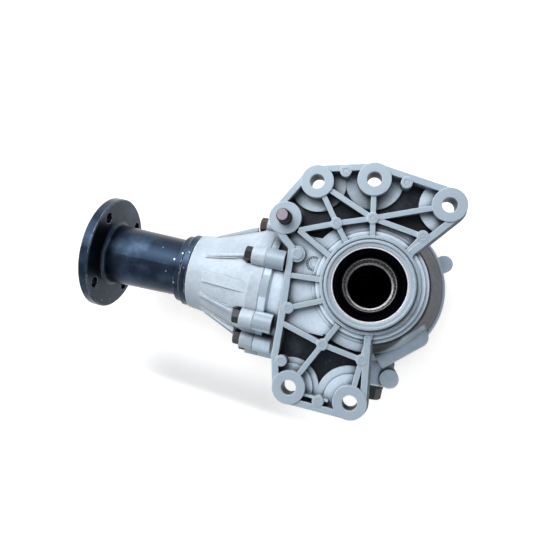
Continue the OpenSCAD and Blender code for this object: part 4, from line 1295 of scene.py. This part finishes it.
@dataclass
class CastingDial:
    """The plain dial that a foundry sets in the floor of a pocket: a rim and short bars."""

    at: Place = DIAL_AT
    radius: float = 5.6
    bars: int = 16
    bar_length: float = 1.5
    bar_width: float = 0.7
    height: float = 0.4

    def build(self, bench: Bench) -> None:
        """Lays the bars round the dial and adds the inner rim."""
        made = bmesh.new()
        bmesh.ops.create_cube(made, size=1.0)
        scale = Matrix.Diagonal((self.bar_length * MM, self.bar_width * MM, 2 * self.height * MM, 1.0))
        bmesh.ops.transform(made, matrix=scale, verts=made.verts)
        bmesh.ops.bevel(made, geom=made.edges, offset=0.12 * MM, segments=2, profile=0.5, affect="EDGES")
        bar = finished_mesh("dial_bar", made)
        spots = []
        for i in range(self.bars):
            turn = math.tau * i / self.bars
            spots.append(((self.radius * math.cos(turn), self.radius * math.sin(turn), 0.0), turn))
        bars = bench.copies.lay(bar, spots, bench.materials[Slot.CASE])
        bench.put("dial_bars", bars, placed(self.at), Slot.CASE, "case")
        inner = 0.52 * self.radius
        rings = [
            round_ring(inner - 0.4, -0.3),
            round_ring(inner + 0.4, -0.3),
            round_ring(inner + 0.3, self.height),
            round_ring(inner - 0.3, self.height),
        ]
        rim = skin("dial_rim", rings, 40, closed=True)
        bench.put("dial_rim", rim, placed(self.at), Slot.CASE, "case")


@dataclass(frozen=True)
class FinePieces:
    """The fine pieces and their seats on the solids, in millimetres and degrees."""

    pinion_y: float = -20.0
    pinion_z: float = -60.0
    housing_seat_x: float = -105.0
    housing_circle_r: float = 60.0
    housing_angles: Sequence[float] = (32.0, 60.0, 92.0, 150.0, 205.0, 255.0, 286.0, 335.0)
    cover_seat_z: float = -115.0
    cover_circle_r: float = 77.0
    cover_angles: Sequence[float] = (30.6, 72.0, 112.0, 148.0, 219.0, 252.0, 294.0)
    nut_seat_x: float = -207.0
    drain_at: Place = (20.0, -90.0, -84.0)
    filler_at: Place = (12.0, 76.0, -60.0)
    breather_at: Place = (-30.0, 74.0, -60.0)

    def on_pinion(self, x: float) -> Matrix:
        """A place on the pinion's axis that points to the companion flange."""
        return placed((x, self.pinion_y, self.pinion_z), -90.0, "Y")

    def build(self, bench: Bench) -> None:
        """Adds every piece that the solids leave out or only hint at."""
        housing_seat = self.on_pinion(self.housing_seat_x)
        cover_seat = placed((0.0, 0.0, self.cover_seat_z), 180.0, "X")
        circles = (
            BoltCircle(
                "housing_flange_bolts", "pinion_housing_bolts", Slot.BOLT, housing_seat,
                self.housing_circle_r, self.housing_angles, FlangeBolt(length=21.0), 7,
            ),
            BoltCircle(
                "cover_flange_bolts", "rear_cover_bolts", Slot.ZINC, cover_seat,
                self.cover_circle_r, self.cover_angles, FlangeBolt(length=20.0), 11,
            ),
        )
        drain = placed(self.drain_at, 90.0, "X")
        filler = placed(self.filler_at, -90.0, "X")
        pieces = (
            *circles,
            HousingWebs(housing_seat, self.housing_angles),
            CaptiveBolt(),
            ScrewPlug("drain_plug_turned", "drain_plug", drain, 14.0),
            ScrewPlug("filler_plug_turned", "filler_plug", filler, 10.0),
            Breather(placed(self.breather_at, -90.0, "X")),
            CollarNut(self.on_pinion(self.nut_seat_x)),
            DotRims(DOTS),
            CastingDial(),
        )
        for piece in pieces:
            piece.build(bench)


@dataclass(frozen=True)
class Lamp:
    """One square area lamp, with its place and side in metres and its power in watts."""

    name: str
    place: Place
    side: float
    power: float
    colour: Colour

    def build(self, aim: Place) -> None:
        """Makes the lamp and points it at a place."""
        data = bpy.data.lights.new(self.name, "AREA")
        data.shape = "SQUARE"
        data.size = self.side
        data.energy = self.power
        data.color = self.colour
        lamp = bpy.data.objects.new(self.name, data)
        bpy.context.scene.collection.objects.link(lamp)
        lamp.location = self.place
        ahead = Vector(aim) - Vector(self.place)
        lamp.rotation_euler = ahead.to_track_quat("-Z", "Y").to_euler()


@dataclass(frozen=True)
class Floor:
    """The plain floor, white where it is seen, with painted shade under the object and a painted band of shadow
    below the tube.

    Its height and its side are in metres, and the rest is in millimetres.
    """

    z: float = -0.1462
    side: float = 8.0
    contact: float = 260.0
    glow: float = 0.9
    plain: Colour = (0.4, 0.4, 0.4)
    warm_painted_shade: Colour = (1.0, 0.74, 0.6)
    shadow: Colour = (0.3, 0.3, 0.3)
    shadow_share: float = 0.48
    shadow_at: tuple[float, float] = (-188.0, -144.0)
    shadow_slope: float = 0.055

    def build(self) -> None:
        """Makes the floor and sets it aside from the object."""
        half = self.side / 2
        mesh = bpy.data.meshes.new("studio_floor")
        corners = [(-half, -half), (half, -half), (half, half), (-half, half)]
        mesh.from_pydata([(x, y, self.z) for x, y in corners], [], [(0, 1, 2, 3)])
        floor = bpy.data.objects.new("studio_floor", mesh)
        bpy.context.scene.collection.objects.link(floor)
        mesh.materials.append(self._material())

    def _material(self) -> bpy.types.Material:
        """Builds the material: plain grey under the lamps, bright where it is seen, with painted shade under
        the object and a painted band of shadow.
        """
        shader = Shader("studio_floor")
        plain = shader.node("ShaderNodeBsdfDiffuse", values={"Color": (*self.plain, 1.0)})
        open_air = shader.shade(self.contact)
        # Painted shade: under the object the glow fades and turns warmer, and the lit floor darkens, the more
        # closed in it is.
        glow = open_air.ramp(0.24, 0.62, 0.0, 1.0) * self.glow
        tone = shader.mix(open_air.ramp(0.3, 0.6), self.warm_painted_shade, (1.0, 1.0, 1.0))
        light = shader.node("ShaderNodeEmission", values={"Color": tone, "Strength": glow})
        below = shader.mix(open_air.ramp(0.1, 0.4), (0.0, 0.0, 0.0), self.plain)
        lit = shader.node("ShaderNodeBsdfDiffuse", values={"Color": below})
        bright = shader.node("ShaderNodeAddShader", values={0: lit, 1: light})
        grey = shader.node("ShaderNodeEmission", values={"Color": (*self.shadow, 1.0)})
        shares = {0: self._tube_shadow(shader), 1: bright, 2: grey}
        seen = shader.node("ShaderNodeMixShader", values=shares)
        surface = shader.node("ShaderNodeMixShader", values={0: shader.looked_at(), 1: plain, 2: seen})
        shader.make("ShaderNodeOutputMaterial", values={"Surface": surface})
        return shader.material

    def _tube_shadow(self, shader: Shader) -> Wire:
        """Share of the painted band of shadow below the tube and the housing."""
        x, y, _ = shader.axes(shader.point())
        at_x, at_y = self.shadow_at
        aside = (x - at_x) * self.shadow_slope + y - at_y
        upper = aside.ramp(0.0, 46.0, self.shadow_share, 0.0)
        lower = aside.ramp(-20.0, -3.0, 0.0, self.shadow_share)
        return upper.at_most(lower) * x.ramp(-290.0, -200.0) * x.ramp(-95.0, 0.0, 1.0, 0.0)


@dataclass(frozen=True)
class Studio:
    """The floor, the lamps, the sky and the camera above the mounting face, with places in metres."""

    lamps: Sequence[Lamp] = (
        Lamp("key_lamp", (-0.75, 0.6, 0.88), 1.0, 12.2, (0.97, 0.99, 1.0)),
        Lamp("left_lamp", (-1.27, -0.1, 0.42), 0.9, 5.5, (0.93, 0.97, 1.0)),
        Lamp("top_lamp", (-0.3, 0.62, 1.03), 0.8, 7.5, (0.98, 1.0, 1.0)),
        Lamp("far_lamp", (-0.3, 1.2, 0.36), 0.8, 5.0, (0.88, 0.95, 1.0)),
        Lamp("low_lamp", (0.2, -0.95, 0.7), 0.8, 3.6, (0.86, 0.95, 1.0)),
    )
    aim: Place = (-0.05, -0.02, -0.05)
    zenith: Colour = (0.05, 0.06, 0.08)
    horizon: Colour = (0.02, 0.025, 0.035)
    camera_at: Place = (0.0026, -0.01853, 0.46735)
    camera_x: Place = (0.95917, 0.21462, -0.18423)
    camera_y: Place = (-0.2043, 0.97614, 0.07351)
    focal_px: float = 540.0
    frame_px: float = 533.0
    sensor_mm: float = 36.0

    def build(self) -> None:
        """Builds everything that isn't part of the object."""
        Floor().build()
        self._world()
        for lamp in self.lamps:
            lamp.build(self.aim)
        self._camera()
        bpy.context.scene.view_settings.view_transform = "Standard"

    def _world(self) -> None:
        """A faint sky, a little brighter overhead, that is white where it is seen."""
        world = bpy.data.worlds.new("studio")
        bpy.context.scene.world = world
        world.use_nodes = True
        tree = Tree(world.node_tree)
        place = tree.node("ShaderNodeTexCoord", out="Generated")
        height = tree.node("ShaderNodeSeparateXYZ", values={"Vector": place}, out="Z")
        lift = tree.mix(height.ramp(0.1, 0.95), self.horizon, self.zenith)
        sky = tree.node("ShaderNodeBackground", values={"Color": lift, "Strength": 1.0})
        white = tree.node("ShaderNodeBackground", values={"Color": (1.0, 1.0, 1.0, 1.0), "Strength": 1.0})
        either = tree.node("ShaderNodeMixShader", values={0: tree.looked_at(), 1: sky, 2: white})
        tree.make("ShaderNodeOutputWorld", values={"Surface": either})

    def _camera(self) -> None:
        """The camera, above the mounting face and turned a little towards the companion flange."""
        data = bpy.data.cameras.new("camera")
        data.sensor_width = self.sensor_mm
        data.lens = self.sensor_mm * self.focal_px / self.frame_px
        data.clip_start = 0.01
        data.clip_end = 20.0
        camera = bpy.data.objects.new("camera", data)
        bpy.context.scene.collection.objects.link(camera)
        x = Vector(self.camera_x).normalized()
        y = Vector(self.camera_y).normalized()
        turn = Matrix((x, y, x.cross(y))).transposed()
        camera.matrix_world = Matrix.Translation(self.camera_at) @ turn.to_4x4()
        bpy.context.scene.camera = camera


def main() -> None:
    """Builds the scene."""
    logging.basicConfig(level=logging.INFO, format="%(message)s")
    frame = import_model()
    bench = Bench()
    bench.dress_solids(frame)
    FinePieces().build(bench)
    Studio().build()


if __name__ == "__main__":
    main()
